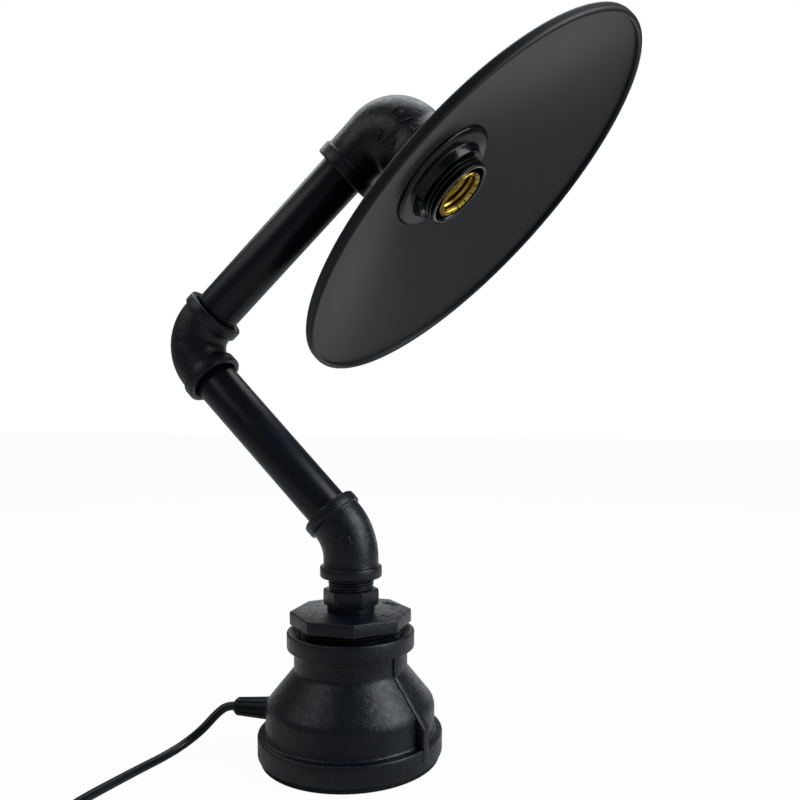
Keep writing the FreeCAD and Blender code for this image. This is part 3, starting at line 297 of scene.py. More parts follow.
def castFigures(bm, text, centre, facing, upright, height, stroke=0.5):
    skin = BVHTree.FromBMesh(bm)
    out = Vector(facing).normalized()
    along = Vector(upright).cross(out).normalized()
    upright = out.cross(along)
    marks = bmesh.new()
    for place, figure in enumerate(text):
        left = (place - len(text) / 2) * figureLaying["advance"]
        for line in figureStrokes[figure]:
            laid = []
            for side, rise in strokePoints(line):
                start = Vector(centre) * mm + along * (left + side) * height * mm
                start += upright * (rise - 0.5) * height * mm + out * figureLaying["startOut"] * mm
                touch, normal = skin.ray_cast(start, -out, figureLaying["reach"] * mm)[:2]
                if touch is not None:
                    laid.append((touch, normal))
            if len(laid) > 2:
                addPart(marks, strokeBead(laid, stroke * mm))
    bmesh.ops.recalc_face_normals(marks, faces=marks.faces)
    addPart(bm, marks)


# camera, at eye height in front of the lamp, placed in metres
view = {
    "place": (0.0, -0.48353, 0.21299),
    "right": (0.99095965, -0.13312056, 0.01667012),
    "top": (0.00040460, 0.12722009, 0.99187443),
    "forward": (0.13415966, 0.98290079, -0.12612384),
    "lens": 36.233,
    "shift": (-0.0751, 0.1416),
}

cameraData = bpy.data.cameras.new("camera")
cameraData.sensor_width = 36
cameraData.lens = view["lens"]
cameraData.shift_x, cameraData.shift_y = view["shift"]
cameraData.clip_start = 0.02
cameraData.clip_end = 50
camera = bpy.data.objects.new("camera", cameraData)
bpy.context.scene.collection.objects.link(camera)
turn = Matrix((view["right"], view["top"], -Vector(view["forward"]))).transposed().to_4x4()
camera.matrix_world = Matrix.Translation(view["place"]) @ turn
bpy.context.scene.camera = camera
print("camera set")


# materials: grit is the size of the finest marks, relief their height
def castIron(name, baseHex, lightHex, grit, relief, roughness, gloss):
    # satin black enamel sprayed over sand-cast malleable iron: the casting's grain shows through
    # the paint as soft orange peel, so highlights break up into small flecks
    swellSize = grit * 4.5
    patchSize = 26
    material, tree, shader, place = newMaterial(name, {"Roughness": roughness, "IOR": 1.5,
                                                       "Specular IOR Level": gloss})
    grain = addNode(tree, "TexNoise", {"Scale": 1000 / grit, "Detail": 3, "Roughness": 0.6},
                    {"Vector": place})
    swell = addNode(tree, "TexNoise", {"Scale": 1000 / swellSize, "Detail": 2}, {"Vector": place})
    patch = addNode(tree, "TexNoise", {"Scale": 1000 / patchSize, "Detail": 3}, {"Vector": place})
    tint = addNode(tree, "Mix", {"data_type": "RGBA", 6: linear(baseHex), 7: linear(lightHex)},
                   {0: patch.outputs["Fac"]})
    tree.links.new(tint.outputs[2], shader.inputs["Base Color"])
    worn = addNode(tree, "MapRange", {"From Min": 0.3, "From Max": 0.7, "To Min": roughness - 0.07,
                                      "To Max": roughness + 0.09}, {"Value": swell.outputs["Fac"]})
    tree.links.new(worn.outputs[0], shader.inputs["Roughness"])
    fine = addNode(tree, "Bump", {"Strength": 0.85, "Distance": relief * mm},
                   {"Height": grain.outputs["Fac"]})
    broad = addNode(tree, "Bump", {"Strength": 0.9, "Distance": relief * 1.4 * mm},
                    {"Height": swell.outputs["Fac"], "Normal": fine.outputs[0]})
    tree.links.new(broad.outputs[0], shader.inputs["Normal"])
    return material


def smoothPaint(name, baseHex, lightHex, grit, relief, roughness, gloss):
    # enamel on drawn pipe or powder coat on spun sheet: an even film with a faint spray texture
    patchSize = 30
    material, tree, shader, place = newMaterial(name, {"Roughness": roughness, "IOR": 1.5,
                                                       "Specular IOR Level": gloss})
    spray = addNode(tree, "TexNoise", {"Scale": 1000 / grit, "Detail": 3}, {"Vector": place})
    patch = addNode(tree, "TexNoise", {"Scale": 1000 / patchSize, "Detail": 3}, {"Vector": place})
    tint = addNode(tree, "Mix", {"data_type": "RGBA", 6: linear(baseHex), 7: linear(lightHex)},
                   {0: patch.outputs["Fac"]})
    tree.links.new(tint.outputs[2], shader.inputs["Base Color"])
    film = addNode(tree, "Bump", {"Strength": 0.6, "Distance": relief * mm},
                   {"Height": spray.outputs["Fac"]})
    tree.links.new(film.outputs[0], shader.inputs["Normal"])
    return material


def mouldedPlastic(name, baseHex, grit, relief, roughness, gloss=0.3):
    # moulded plastic or rubber: one colour through and through, with the mould's fine grain
    material, tree, shader, place = newMaterial(name, {
        "Base Color": linear(baseHex), "IOR": 1.5, "Roughness": roughness,
        "Specular IOR Level": gloss})
    grain = addNode(tree, "TexNoise", {"Scale": 1000 / grit, "Detail": 2}, {"Vector": place})
    skin = addNode(tree, "Bump", {"Strength": 0.5, "Distance": relief * mm},
                   {"Height": grain.outputs["Fac"]})
    tree.links.new(skin.outputs[0], shader.inputs["Normal"])
    return material


def workedMetal(name, baseHex, darkHex, grit, roughness):
    # pressed or plated metal: full metal reflection, drawn marks and a little tarnish
    material, tree, shader, place = newMaterial(name, {"Metallic": 1.0, "Roughness": roughness})
    marks = addNode(tree, "TexNoise", {"Scale": 1000 / grit, "Detail": 4}, {"Vector": place})
    tint = addNode(tree, "Mix", {"data_type": "RGBA", 6: linear(baseHex), 7: linear(darkHex)},
                   {0: marks.outputs["Fac"]})
    tree.links.new(tint.outputs[2], shader.inputs["Base Color"])
    gloss = addNode(tree, "MapRange", {"To Min": roughness - 0.06, "To Max": roughness + 0.1},
                    {"Value": marks.outputs["Fac"]})
    tree.links.new(gloss.outputs[0], shader.inputs["Roughness"])
    return material


blackIron = castIron("satinBlackCastIron", "050a12", "0a1019",
                     grit=0.8, relief=0.19, roughness=0.32, gloss=0.3)
blackPipe = smoothPaint("satinBlackPipePaint", "040912", "070c16",
                        grit=1.2, relief=0.012, roughness=0.32, gloss=0.24)
charcoalShade = smoothPaint("mattCharcoalPowderCoat", "0f1214", "141719",
                            grit=0.7, relief=0.01, roughness=0.46, gloss=0.22)
blackPhenolic = mouldedPlastic("glossBlackPhenolic", "030405",
                               grit=3.0, relief=0.01, roughness=0.18, gloss=0.22)
brownPhenolic = mouldedPlastic("brownPhenolicInsert", "3b3128", grit=1.0, relief=0.02, roughness=0.5)
brass = workedMetal("pressedBrass", "c4aa4c", "76622a", grit=2.0, roughness=0.3)
zinc = workedMetal("zincPlatedSteel", "b9bbc0", "8d9096", grit=1.2, roughness=0.32)
cordPvc = mouldedPlastic("blackPvcCordSheath", "050608", grit=1.6, relief=0.02, roughness=0.3)
gripPvc = mouldedPlastic("blackPvcMoulding", "08090b",
                         grit=1.0, relief=0.02, roughness=0.42, gloss=0.2)
footRubber = mouldedPlastic("blackRubberSheet", "09090a", grit=0.6, relief=0.04, roughness=0.75)
switchPlastic = mouldedPlastic("blackAbs", "0d0d0e", grit=0.5, relief=0.012, roughness=0.3)
print("materials made")


# cord: one sheathed lead from the strain relief through the switch and coil to the plug
cord = {
    "diameter": 5.5,
    "rest": 2.9,
    "gripAzimuth": 165.0,
    "gripHeight": 26.0,
    "gripTip": 74.5,
    "straight": 5.5,
    "switchMiddle": (-82.0, -141.0, 5.0),
    "switchHalf": 31.0,
    "plugEntry": (73.0, -143.5, 7.0),
}
coil = {
    "middle": (-14.0, -180.0),
    "lowTurns": (38.5, 33.0, 27.5, 22.0),
    "highTurns": (24.75, 30.25, 35.75),
    "layerStep": 4.8,
    "pointsPerTurn": 18,
    "holds": 0.72,      # share of a turn that keeps its radius before it moves to the next
    "spread": 1.012,    # the smooth line runs this much inside its points
}

gripHeading = math.radians(cord["gripAzimuth"])
gripAxis = Vector((math.cos(gripHeading), math.sin(gripHeading), 0))
cordExit = gripAxis * cord["gripTip"] + up * cord["gripHeight"]
straightEnd = cordExit + gripAxis * cord["straight"]
switchMiddle = Vector(cord["switchMiddle"])
switchLeft = switchMiddle - Vector((cord["switchHalf"], 0, 0))
switchRight = switchMiddle + Vector((cord["switchHalf"], 0, 0))
plugEntry = Vector(cord["plugEntry"])
rest = cord["rest"]
coilX, coilY = coil["middle"]

firstRun = [
    cordExit,
    straightEnd,
    straightEnd + Vector((-6.6, -0.3, -4.8)),
    Vector((-92.4, 16.2, 12.2)),
    Vector((-102.4, 9.6, 5.8)),
    Vector((-112.3, -1.4, 3.0)),
    Vector((-122.3, -16.6, rest)),
    Vector((-132.8, -34.2, rest)),
    Vector((-143.1, -52.2, rest)),
    Vector((-151.0, -71.5, rest)),
    Vector((-154.5, -92.0, rest)),
    Vector((-151.5, -110.5, rest)),
    Vector((-142.5, -127.0, rest + 0.2)),
    Vector((-131.0, -138.2, rest + 1.1)),
    switchLeft + Vector((-7, 0, 0)),
    switchLeft,
]
secondRun = [
    switchRight,
    switchRight + Vector((6, 0, 0)),
    switchRight + Vector((13, -0.3, -1.3)),
    Vector((-28.0, coilY + 38.9, rest)),
]

coilPoints = []
radii = coil["lowTurns"] + coil["highTurns"]
perTurn = coil["pointsPerTurn"]
for index in range(perTurn * len(radii) + 1):
    whole = min(index // perTurn, len(radii) - 1)
    part = index / perTurn - whole
    step = max(0.0, (part - coil["holds"]) / (1 - coil["holds"]))
    nextRadius = radii[min(whole + 1, len(radii) - 1)]
    radius = (radii[whole] + (nextRadius - radii[whole]) * step) * coil["spread"]
    layer = 0.0 if whole < len(coil["lowTurns"]) else 1.0
    if whole == len(coil["lowTurns"]) - 1:
        layer = step
    angle = math.pi / 2 - 2 * math.pi * index / perTurn
    coilPoints.append(Vector((coilX + radius * math.cos(angle), coilY + radius * math.sin(angle),
                              rest + layer * coil["layerStep"])))

tail = [
    Vector((2.0, coilY + 35.9, 8.3)),
    Vector((13.0, coilY + 36.1, 8.2)),
    Vector((25.0, coilY + 36.8, 4.7)),
    Vector((38.0, coilY + 37.2, rest + 0.1)),
    Vector((51.0, coilY + 36.9, 4.2)),
    plugEntry + Vector((-10, 0, 0)),
    plugEntry,
]


def cordCurve(name, points, body):
    data = bpy.data.curves.new(name, "CURVE")
    data.dimensions = "3D"
    data.bevel_depth = cord["diameter"] / 2 * mm
    data.bevel_resolution = 5
    data.resolution_u = 6
    data.use_fill_caps = True
    spline = data.splines.new("NURBS")
    spline.points.add(len(points) - 1)
    for knot, point in zip(spline.points, points):
        knot.co = (*(point * mm), 1.0)
    spline.order_u = 3
    spline.use_endpoint_u = True
    data.materials.append(cordPvc)
    piece = bpy.data.objects.new(name, data)
    bpy.context.scene.collection.objects.link(piece)
    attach(piece, body)
    return piece


leadToSwitch = cordCurve("cordToSwitch", firstRun, "stand")
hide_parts("cord_first_run")
leadToPlug = cordCurve("cordToPlug", secondRun + coilPoints + tail, "stand")
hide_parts("cord_second_run", "cord_coil", "cord_tail")
print("cords laid")


# base coupling with its two cast ribs
base = {
    "outline": [
        (44.2, 3.5, 0.6), (56.5, 3.5, 1.2), (56.5, 16.9, 1.3), (51.5, 16.9, 1.8), (51.5, 34.9, 3.2),
        (34.4, 56.4, 1.6), (34.4, 69.1, 1.0), (38.6, 69.1, 1.2), (38.6, 79.7, 1.1), (36.4, 79.7, 0.3),
        (30.5, 74.8), (30.5, 60.7), (28.8, 59.7), (28.8, 53.6), (45.9, 32.1), (45.9, 29.0), (44.2, 27.5),
    ],
    "rib": [(48.7, 8.7), (56.8, 8.7), (56.8, 29.5), (35.4, 56.4), (35.4, 70.1),
            (31.6, 70.1), (31.6, 55.4), (48.7, 33.9)],
    "ribWidth": 5.5,
    "ribAzimuth": -40.0,
    "ribEdge": 0.4,
}

bm = bmesh.new()
addPart(bm, turnedPart(base["outline"], 192))
for halfTurn in (0, 180):
    rib = bmesh.new()
    outline = [rib.verts.new((radius * mm, -base["ribWidth"] / 2 * mm, height * mm))
               for radius, height in base["rib"]]
    extrudeFaces(rib, [rib.faces.new(outline)], (0, base["ribWidth"] * mm, 0))
    bevel(rib, rib.edges[:], base["ribEdge"], 2)
    addPart(bm, rib, Matrix.Rotation(math.radians(base["ribAzimuth"] + halfTurn), 4, "Z"))
finishPiece("reducingCoupling", bm, blackIron, "stand", "base_reducer")

foot = {"radius": 54.8, "height": 3.5, "lowEdge": 0.5, "highEdge": 0.4, "middle": 0.01}
turnedPiece("footPad", [
    (foot["middle"], 0), (foot["radius"], 0, foot["lowEdge"]),
    (foot["radius"], foot["height"], foot["highEdge"]), (foot["middle"], foot["height"]),
], 160, footRubber, "stand", "base_pad")

bushing = {
    "corners": 36.85, "azimuth": -88.0, "headLow": 83.4, "headHigh": 91.7, "edge": 0.8,
    "thread": {"crest": 30.1, "depth": 1.5, "pitch": 2.4, "low": 63.7, "high": 85.0, "flat": 0.12},
    "figures": [("3/4", (24.1, 14.9, 8.3), (0.85, 0.52, 0)),
                ("2", (20.5, -15.5, 8.3), (0.8, -0.6, 0))],
    "figureHeight": 4.4, "figureStroke": 0.4,
}
bm = bmesh.new()
octagon = prism(8, bushing["corners"], bushing["headHigh"] - bushing["headLow"])
bevel(octagon, octagon.edges[:], bushing["edge"], 3)
bmesh.ops.rotate(octagon, matrix=cornerTurn(bushing["azimuth"], 3), verts=octagon.verts)
for text, centre, upright in bushing["figures"]:
    castFigures(octagon, text, centre, up, upright, bushing["figureHeight"], bushing["figureStroke"])
addPart(bm, octagon, Matrix.Translation((0, 0, bushing["headLow"] * mm)))
addPart(bm, threadPart(**bushing["thread"], steps=128))
finishPiece("octagonBushing", bm, blackIron, "stand", "octagon_bushing")

nipple = {
    "hexLow": 95.3, "hexHigh": 105.25, "corners": 16.9, "azimuth": -66.0, "cornerCut": 2.3, "edge": 0.35,
    "bore": 10, "low": 79.8, "stub": 13.2, "collar": 14.4, "collarLow": 91.6, "collarHigh": 96.0,
    "neck": 12.2, "high": 124.4,
    "thread": {"crest": 13.25, "depth": 0.8, "pitch": 1.81, "low": 103.6, "high": 113.8,
               "flat": 0.16, "taper": 0.11},
}
bm = bmesh.new()
hexagon = prism(6, nipple["corners"], nipple["hexHigh"] - nipple["hexLow"])
bevel(hexagon, hexagon.verts[:], nipple["cornerCut"], 2, "VERTICES")
bevel(hexagon, hexagon.edges[:], nipple["edge"], 2)
addPart(bm, hexagon, Matrix.Translation((0, 0, nipple["hexLow"] * mm)) @ cornerTurn(nipple["azimuth"]))
addPart(bm, turnedPart([
    (nipple["bore"], nipple["low"]), (nipple["stub"], nipple["low"]),
    (nipple["stub"], nipple["collarLow"]), (nipple["collar"], nipple["collarLow"], 0.3),
    (nipple["collar"], nipple["collarHigh"]), (nipple["neck"], nipple["collarHigh"]),
    (nipple["neck"], nipple["high"]), (nipple["bore"], nipple["high"]),
], 72))
addPart(bm, threadPart(**nipple["thread"]))
finishPiece("hexNipple", bm, blackIron, "stand", "hex_nipple")
print("base made")


# cast elbows, each a round bend between two banded mouths
casting = {
    "bandWidth": 6.9, "body": 16.5, "mouth": 14.3, "mouthDepth": 13.0,
    "chamferDepth": 1.0, "chamferWidth": 0.8,
    # how far in from a band's face or rear, and how far below its crown
    "faceEdge": [(0.0, 1.1), (0.15, 0.55), (0.5, 0.18), (1.1, 0.0)],
    "rearEdge": [(1.1, 0.0), (0.5, 0.18), (0.12, 0.55), (0.0, 1.0)],
    # how far behind the band, and how far above the body
    "fillet": [(0.05, 0.5), (0.25, 0.15), (0.7, 0.0)],
    "bendSteps": 24,
}
elbow45 = {
    "legs": (24.7, 21.0), "bands": (18.6, 18.1), "bend": 33.0,
    "figures": ("3/4", (-6.4, -15.0, 135.8), (-0.28, -0.96, 0.06), (-0.2, 0.12, 1.0), 5.0),
}
middleElbow = {
    "legs": (29.6, 29.6), "bands": (18.1, 18.1), "bend": 21.3,
    "figures": ("3/4", (-100.7, 29.4, 249.9), (-0.4, -0.91, 0.08), (-0.915, 0.4, -0.04), 5.6),
}


def endProfile(leg, band, body, mouth, bandWidth):
    # (distance from the corner, radius) from inside the tapped mouth round the band to the body
    rear = leg - bandWidth
    profile = [(leg - casting["mouthDepth"], mouth), (leg - casting["chamferDepth"], mouth),
               (leg, mouth + casting["chamferWidth"])]
    profile += [(leg - inward, band - drop) for inward, drop in casting["faceEdge"]]
    profile += [(rear + inward, band - drop) for inward, drop in casting["rearEdge"]]
    profile += [(rear - behind, body + rise) for behind, rise in casting["fillet"]]
    return profile


def roundStations(corner, toward, side, flank, profile):
    return [station(corner + toward * distance * mm, side, flank, radius * mm, radius * mm)
            for distance, radius in profile]


def evenElbow(name, elbow, corner, towardA, towardB, body, node):
    flank = towardA.cross(towardB).normalized()
    sideA = towardA.cross(flank)
    profileA, profileB = [endProfile(leg, band, casting["body"], casting["mouth"], casting["bandWidth"])
                          for leg, band in zip(elbow["legs"], elbow["bands"])]
    stations = roundStations(corner, towardA, sideA, flank, profileA)
    bendTurn = math.pi - towardA.angle(towardB)
    reach = elbow["bend"] / math.cos(bendTurn / 2)
    pivot = corner + (towardA + towardB).normalized() * reach * mm
    start = corner + towardA * elbow["bend"] * math.tan(bendTurn / 2) * mm
    for index in range(casting["bendSteps"] + 1):
        spin = Matrix.Rotation(-bendTurn * index / casting["bendSteps"], 4, flank)
        stations.append(station(pivot + spin @ (start - pivot), spin @ sideA, flank,
                                casting["body"] * mm, casting["body"] * mm))
    stations += roundStations(corner, towardB, flank.cross(towardB), flank, reversed(profileB))
    bm = bmesh.new()
    addPart(bm, ringTube(stations))
    bmesh.ops.recalc_face_normals(bm, faces=bm.faces)
    castFigures(bm, *elbow["figures"])
    finishPiece(name, bm, blackIron, body, node)


evenElbow("elbow45", elbow45, firstCorner, -up, lowerAxis, "lower_arm", "elbow_45")
evenElbow("middleElbow", middleElbow, secondCorner, -lowerAxis, upperAxis, "upper_arm", "middle_elbow")

headElbow = {
    "pipeLeg": 41.0, "pipeBandWidth": 8.3, "pipeBody": 16.8, "pipeBand": 18.1,
    "outletLeg": 30.9, "outletBandWidth": 5.8, "outletBody": 22.4, "outletBand": 26.6,
    "outletMouth": 20.6, "outerBend": 35.0, "crook": 2.0,
    "flare": 2.4, "flareShares": (0.12, 0.24, 0.36, 0.48), "flareAtBand": 0.68,
    "figures": [("11/4", (28.6, -14.0, 373.0), 5.6), ("X", (22.6, -12.7, 365.9), 5.0),
                ("3/4", (18.6, -9.4, 362.7), 5.6)],
    "figureFacing": (-0.36, -0.93, 0.05), "figureUpright": (0.59, -0.19, 0.78), "figureStroke": 0.7,
}


def reducingElbow():
    # ovals fanned about a point in the crook, growing from the pipe's size to the outlet's
    towardA = -upperAxis
    towardB = headAxis
    flank = towardA.cross(towardB)
    small = headElbow["pipeBody"]
    large = headElbow["outletBody"]
    bend = headElbow["outerBend"]
    crook = headElbow["crook"]
    pivotA = large + crook
    pivotB = small + crook
    arcA = bend - large
    arcB = bend - small
    stations = roundStations(thirdCorner, towardA, -towardB, flank,
                             endProfile(headElbow["pipeLeg"], headElbow["pipeBand"], small,
                                        casting["mouth"], headElbow["pipeBandWidth"]))
    pivot = thirdCorner + (towardA * pivotA + towardB * pivotB) * mm
    for index in range(casting["bendSteps"] + 1):
        share = index / casting["bendSteps"]
        sine = math.sin(math.pi / 2 * share)
        cosine = math.cos(math.pi / 2 * share)
        # how far the outer skin is from the pivot: on the pipe's side, the outlet's, or the arc between
        if cosine > 1e-9 and pivotA - sine * (pivotB + small) / cosine >= arcA:
            outer = (pivotB + small) / cosine
        elif sine > 1e-9 and pivotB - cosine * (pivotA + large) / sine >= arcB:
            outer = (pivotA + large) / sine
        else:
            half = sine * (pivotA - arcA) + cosine * (pivotB - arcB)
            outer = half + math.sqrt(half * half - (pivotA - arcA) ** 2 - (pivotB - arcB) ** 2 + bend ** 2)
        away = -towardA * sine - towardB * cosine
        halfSide = (outer - crook) / 2
        halfFlank = small + (large - small) * smoothStep(share)
        stations.append(station(pivot + away * (crook + halfSide) * mm, away, flank,
                                halfSide * mm, halfFlank * mm))
    reach = headElbow["outletLeg"] - headElbow["outletBandWidth"] / 2 - pivotB
    flared = [(pivotB + reach * share, large + headElbow["flare"] * smoothStep(share))
              for share in headElbow["flareShares"]]
    outlet = endProfile(headElbow["outletLeg"], headElbow["outletBand"],
                        large + headElbow["flare"] * headElbow["flareAtBand"],
                        headElbow["outletMouth"], headElbow["outletBandWidth"])
    stations += roundStations(thirdCorner, towardB, -towardA, flank, flared + outlet[::-1])
    bm = bmesh.new()
    addPart(bm, ringTube(stations, 96))
    bmesh.ops.recalc_face_normals(bm, faces=bm.faces)
    for text, middle, height in headElbow["figures"]:
        castFigures(bm, text, middle, headElbow["figureFacing"], headElbow["figureUpright"], height,
                    headElbow["figureStroke"])
    finishPiece("reducingElbow", bm, blackIron, "head", "head_elbow")


reducingElbow()
print("elbows made")


# pipes, measured along each arm from its lower corner
pipe = {"radius": 13.335, "bore": 10.45, "lower": (9.0, 142.0), "upper": (17.6, 154.2)}


def pipePiece(name, corner, axis, ends, body, node):
    start, end = ends
    turnedPiece(name, [
        (pipe["bore"], start, 0.3), (pipe["radius"], start, 0.6),
        (pipe["radius"], end, 0.6), (pipe["bore"], end, 0.3),
    ], 128, blackPipe, body, node, axisPlace(corner, axis))


pipePiece("lowerPipe", firstCorner, lowerAxis, pipe["lower"], "lower_arm", "lower_pipe")
pipePiece("upperPipe", secondCorner, upperAxis, pipe["upper"], "upper_arm", "upper_pipe")
print("pipes made")


# lampholder and shade, drawn round Z from the head's corner and then turned to its axis
headPlace = axisPlace(thirdCorner, headAxis)
holder = {
    "radius": 20.4, "crest": 21.1, "back": 14.0, "mouth": 60.3, "bore": 18.3, "floor": 51.0,
    "lipLow": 2.6, "lipHigh": 1.7, "wireHole": 3.6, "shellSeat": 14.5, "floorDepth": 1.5,
    "inside": 17.8, "backWall": 3.0,
    "thread": {"crest": 21.1, "depth": 0.9, "pitch": 2.5, "low": 50.6, "high": 55.7, "flat": 0.17},
}
bm = bmesh.new()
addPart(bm, turnedPart([
    (holder["wireHole"], holder["back"]), (holder["radius"], holder["back"], 0.8),
    (holder["radius"], holder["mouth"] - holder["lipLow"], 0.3),
    (holder["crest"], holder["mouth"] - holder["lipHigh"], 0.3),
    (holder["crest"], holder["mouth"] - 0.5, 0.4), (holder["radius"] - 0.3, holder["mouth"], 0.3),
    (holder["bore"] + 0.6, holder["mouth"] - 0.2, 0.3), (holder["bore"], holder["mouth"] - 1.6),
    (holder["bore"], holder["floor"]), (holder["shellSeat"], holder["floor"]),
    (holder["shellSeat"], holder["floor"] - holder["floorDepth"]),
    (holder["inside"], holder["floor"] - holder["floorDepth"]),
    (holder["inside"], holder["back"] + holder["backWall"]),
    (holder["wireHole"], holder["back"] + holder["backWall"]),
], 160))
addPart(bm, threadPart(**holder["thread"], steps=160))
bmesh.ops.transform(bm, matrix=headPlace, verts=bm.verts)
finishPiece("holderBody", bm, blackPhenolic, "head", "socket_body")

insert = {"hole": 3.0, "radius": 17.75, "skirt": 2.0, "foot": 17.0, "low": 22.0, "high": 28.0}
turnedPiece("holderInsert", [
    (insert["hole"], insert["low"]), (insert["radius"] - insert["skirt"], insert["low"]),
    (insert["radius"] - insert["skirt"], insert["foot"]), (insert["radius"], insert["foot"], 0.3),
    (insert["radius"], insert["high"], 0.6), (insert["hole"], insert["high"], 0.3),
], 96, brownPhenolic, "head", "socket_insert", headPlace)

shell = {
    "radius": 13.4, "foot": 12.2, "wave": 0.36, "pitch": 3.63, "low": 28.0, "wallFoot": 33.0,
    "wallTop": 57.6, "wavePoints": 84, "wall": 0.45, "steps": 112,
    "mouth": [(13.5, 57.0), (13.5, 58.3), (13.8, 59.1), (14.5, 59.8), (15.3, 60.2)],
    "notches": 16, "notchWidth": 2.6, "notchHeight": 59.3,
    "slits": (28.0, 118.0, 208.0, 298.0), "slitHalfWidth": 1.2,
}
wave = []
for index in range(shell["wavePoints"] + 1):
    height = shell["wallFoot"] + (shell["wallTop"] - shell["wallFoot"]) * index / shell["wavePoints"]
    phase = 2 * math.pi * height / shell["pitch"]
    wave.append((shell["radius"] + shell["wave"] * math.sin(phase), height))
cone = [(shell["foot"], shell["low"]), (shell["radius"], shell["wallFoot"] + 0.4)]
bm = bmesh.new()
addPart(bm, turnedPart(wave, shell["steps"], closed=False, lead=shell["pitch"] * 0.999))
addPart(bm, turnedPart(cone, shell["steps"], closed=False))
mouthRing = turnedPart(shell["mouth"], shell["steps"] * 2, closed=False)
cuts = []
for face in mouthRing.faces:
    middle = face.calc_center_median()
    bearing = math.degrees(math.atan2(middle.y, middle.x)) % 360
    notched = (middle.z > shell["notchHeight"] * mm
               and bearing % (360 / shell["notches"]) < shell["notchWidth"])
    slit = any(abs(bearing - split) < shell["slitHalfWidth"] for split in shell["slits"])
    if notched or slit:
        cuts.append(face)
bmesh.ops.delete(mouthRing, geom=cuts, context="FACES")
addPart(bm, mouthRing)
bmesh.ops.remove_doubles(bm, verts=bm.verts, dist=joinDistance)
bmesh.ops.recalc_face_normals(bm, faces=bm.faces)
bmesh.ops.solidify(bm, geom=bm.faces[:], thickness=shell["wall"] * mm)
bmesh.ops.transform(bm, matrix=headPlace, verts=bm.verts)
finishPiece("screwShell", bm, brass, "head", "screw_shell", 50)

shade = {
    "hole": 20.45, "seat": 44.6, "sheet": 0.8, "flat": 35.5, "bow": 1.2, "mouth": 76.3, "radius": 124.6,
    "beadLength": 5.4, "beadWidth": 3.0, "sheetIntoBead": 0.4, "sheetAlongBead": 2.4,
    "coneSteps": 40, "steps": 256,
}


def arcPoints(middle, height, radius, angles):
    return [(middle + radius * math.cos(math.radians(angle)),
             height + radius * math.sin(math.radians(angle))) for angle in angles]


def shadePiece():
    # a flat seat and a slightly bowed cone of sheet, with a rolled bead round its rim
    front = shade["seat"] + shade["sheet"]
    sheetEnd = shade["radius"] - shade["beadWidth"] + shade["sheetIntoBead"]
    endHeight = shade["mouth"] - shade["beadLength"] + shade["sheetAlongBead"]
    inside = []
    for index in range(shade["coneSteps"] + 1):
        share = index / shade["coneSteps"]
        radius = shade["flat"] + (sheetEnd - shade["flat"]) * share
        height = front + (endHeight - front) * share - shade["bow"] * 4 * share * (1 - share)
        inside.append((radius, height))
    outside = [(radius, height - shade["sheet"]) for radius, height in reversed(inside)]
    half = shade["beadWidth"] / 2
    middle = shade["radius"] - half
    low = shade["mouth"] - shade["beadLength"] + half
    high = shade["mouth"] - half
    bead = [(shade["radius"], low), (shade["radius"], high)]
    bead += arcPoints(middle, high, half, range(30, 180, 30))
    bead += [(middle - half, high), (middle - half, low)]
    bead += arcPoints(middle, low, half, range(210, 360, 30))
    bm = bmesh.new()
    addPart(bm, turnedPart([(shade["hole"], front)] + inside + outside + [(shade["hole"], shade["seat"])],
                           shade["steps"]))
    addPart(bm, turnedPart(bead, shade["steps"]))
    bmesh.ops.transform(bm, matrix=headPlace, verts=bm.verts)
    finishPiece("spunShade", bm, charcoalShade, "head", "shade")


shadePiece()

clampRing = {
    "bore": 20.45, "front": 45.4, "radius": 34.8, "edge": 0.9, "face": 47.9, "slope": 2.2,
    "hub": 25.7, "hubFlare": 0.5, "nose": 24.0, "height": 52.9, "sinkWidth": 2.3, "sinkDepth": 1.7,
}
turnedPiece("shadeRing", [
    (clampRing["bore"], clampRing["front"]), (clampRing["radius"], clampRing["front"]),
    (clampRing["radius"], clampRing["front"] + clampRing["edge"], 0.7),
    (clampRing["radius"] - clampRing["slope"], clampRing["face"], 0.8),
    (clampRing["hub"] + clampRing["hubFlare"], clampRing["face"], 0.3),
    (clampRing["hub"], clampRing["face"] + clampRing["hubFlare"], 0.25),
    (clampRing["nose"], clampRing["height"], 0.3),
    (clampRing["nose"] - clampRing["sinkWidth"], clampRing["height"] - clampRing["sinkDepth"]),
    (clampRing["bore"], clampRing["height"] - clampRing["sinkDepth"]),
], 160, blackPhenolic, "head", "shade_ring_front", headPlace)

backRing = {"bore": 20.45, "radius": 26.5, "back": 40.1, "front": 44.6}
turnedPiece("shadeBackRing", [
    (backRing["bore"], backRing["back"]), (backRing["radius"], backRing["back"], 1.0),
    (backRing["radius"], backRing["front"], 0.3), (backRing["bore"], backRing["front"]),
], 120, blackPhenolic, "head", "shade_ring_back", headPlace)
print("head made")


# strain relief, switch and plug
softCopy("strainRelief", "cord_grip", gripPvc, "stand", 0.25)
switchTop = softCopy("switchTop", "switch_upper_shell", switchPlastic, "stand", 0.35)
switchBottom = softCopy("switchBottom", "switch_lower_shell", switchPlastic, "stand", 0.3)
rocker = softCopy("switchRocker", "switch_rocker", switchPlastic, "rocker", 0.3)
plug = softCopy("plugBody", "plug_body", gripPvc, "stand", 0.8, 3)

fixedFinishes = {
    "plug_blades": brass, "switch_contacts": brass, "centre_contact": brass, "switch_screws": zinc,
    "terminal_screws": zinc, "cord_grip_nut": gripPvc, "lead_base": cordPvc, "lead_lower": cordPvc,
    "lead_upper": cordPvc, "lead_head": cordPvc,
}
for node, finish in fixedFinishes.items():
    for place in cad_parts[node].material_slots:
        place.material = finish

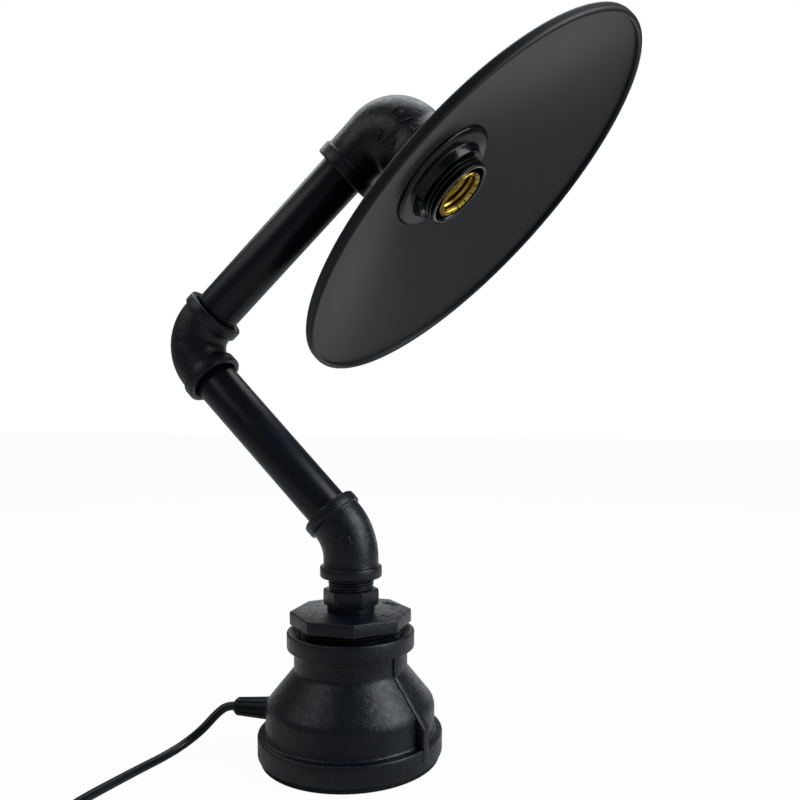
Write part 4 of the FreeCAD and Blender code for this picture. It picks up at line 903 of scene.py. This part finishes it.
# floor, light and background, in metres
studio = {
    "floorSize": 6.0, "paper": "c8c8c8", "floorGlossy": 0.1, "floorWhite": 0.97,
    "worldGlossy": 0.05, "worldLight": 0.1,
}


def whiteRays(tree, glossyShare):
    # 1 for rays that see the background directly or through glass, and a share for reflections
    rays = addNode(tree, "LightPath")
    seen = addNode(tree, "Math", {"operation": "MAXIMUM"},
                   {0: rays.outputs["Is Camera Ray"], 1: rays.outputs["Is Transmission Ray"]})
    reflected = addNode(tree, "Math", {"operation": "MULTIPLY", 1: glossyShare},
                        {0: rays.outputs["Is Glossy Ray"]})
    return addNode(tree, "Math", {"operation": "MAXIMUM"},
                   {0: seen.outputs[0], 1: reflected.outputs[0]}).outputs[0]


floorMesh = bpy.data.meshes.new("floor")
bm = bmesh.new()
bmesh.ops.create_grid(bm, x_segments=1, y_segments=1, size=studio["floorSize"])
bm.to_mesh(floorMesh)
bm.free()
floor = bpy.data.objects.new("floor", floorMesh)
bpy.context.scene.collection.objects.link(floor)
paper = bpy.data.materials.new("whitePaperSweep")
paper.use_nodes = True
tree = paper.node_tree
tree.nodes.clear()
sheet = addNode(tree, "BsdfDiffuse", {"Color": linear(studio["paper"])})
glow = addNode(tree, "Emission", {"Color": (1, 1, 1, 1), "Strength": 1.0})
white = addNode(tree, "Math", {"operation": "MULTIPLY", 1: studio["floorWhite"]},
                {0: whiteRays(tree, studio["floorGlossy"])})
blend = addNode(tree, "MixShader", {}, {0: white.outputs[0], 1: sheet.outputs[0], 2: glow.outputs[0]})
addNode(tree, "OutputMaterial", links={"Surface": blend.outputs[0]})
floorMesh.materials.append(paper)

world = bpy.data.worlds.new("studio")
bpy.context.scene.world = world
world.use_nodes = True
tree = world.node_tree
tree.nodes.clear()
strength = addNode(tree, "MapRange", {"To Min": studio["worldLight"], "To Max": 1.0},
                   {"Value": whiteRays(tree, studio["worldGlossy"])})
backdrop = addNode(tree, "Background", {"Color": (1, 1, 1, 1)}, {"Strength": strength.outputs[0]})
addNode(tree, "OutputWorld", links={"Surface": backdrop.outputs[0]})

# eight softboxes round the lamp, by their bearing from +X and their height in degrees
softbox = {"aim": (0, 0, 0.2), "distance": 1.5, "daylight": (0.93, 0.97, 1.0)}
lamps = {
    "keyRight": {"bearing": -20, "height": 35, "size": 0.9, "power": 18.0},
    "lowRight": {"bearing": -30, "height": 8, "size": 0.6, "power": 5.6},
    "behindHigh": {"bearing": 86, "height": 67, "size": 1.1, "power": 11.0},
    "behindLeft": {"bearing": 126, "height": 42, "size": 0.5, "power": 2.0},
    "leftFront": {"bearing": -150, "height": 35, "size": 0.6, "power": 2.4},
    "leftSide": {"bearing": 180, "height": 35, "size": 0.6, "power": 1.4},
    "behindRight": {"bearing": 57, "height": 0, "size": 0.36, "power": 0.65},
    "behindLow": {"bearing": 90, "height": 8, "size": 0.6, "power": 0.86},
}
for name, settings in lamps.items():
    data = bpy.data.lights.new(name, "AREA")
    data.shape = "SQUARE"
    data.size = settings["size"]
    data.energy = settings["power"]
    data.color = softbox["daylight"]
    lamp = bpy.data.objects.new(name, data)
    bpy.context.scene.collection.objects.link(lamp)
    lamp.visible_camera = False
    swing = Matrix.Rotation(math.radians(settings["bearing"]), 3, "Z")
    tilt = Matrix.Rotation(math.radians(-settings["height"]), 3, "Y")
    toward = swing @ tilt @ Vector((softbox["distance"], 0, 0))
    stand = Matrix.Translation(Vector(softbox["aim"]) + toward)
    lamp.matrix_world = stand @ (-toward).to_track_quat("-Z", "Y").to_matrix().to_4x4()

bpy.context.scene.view_settings.view_transform = "Standard"
print("scene ready")
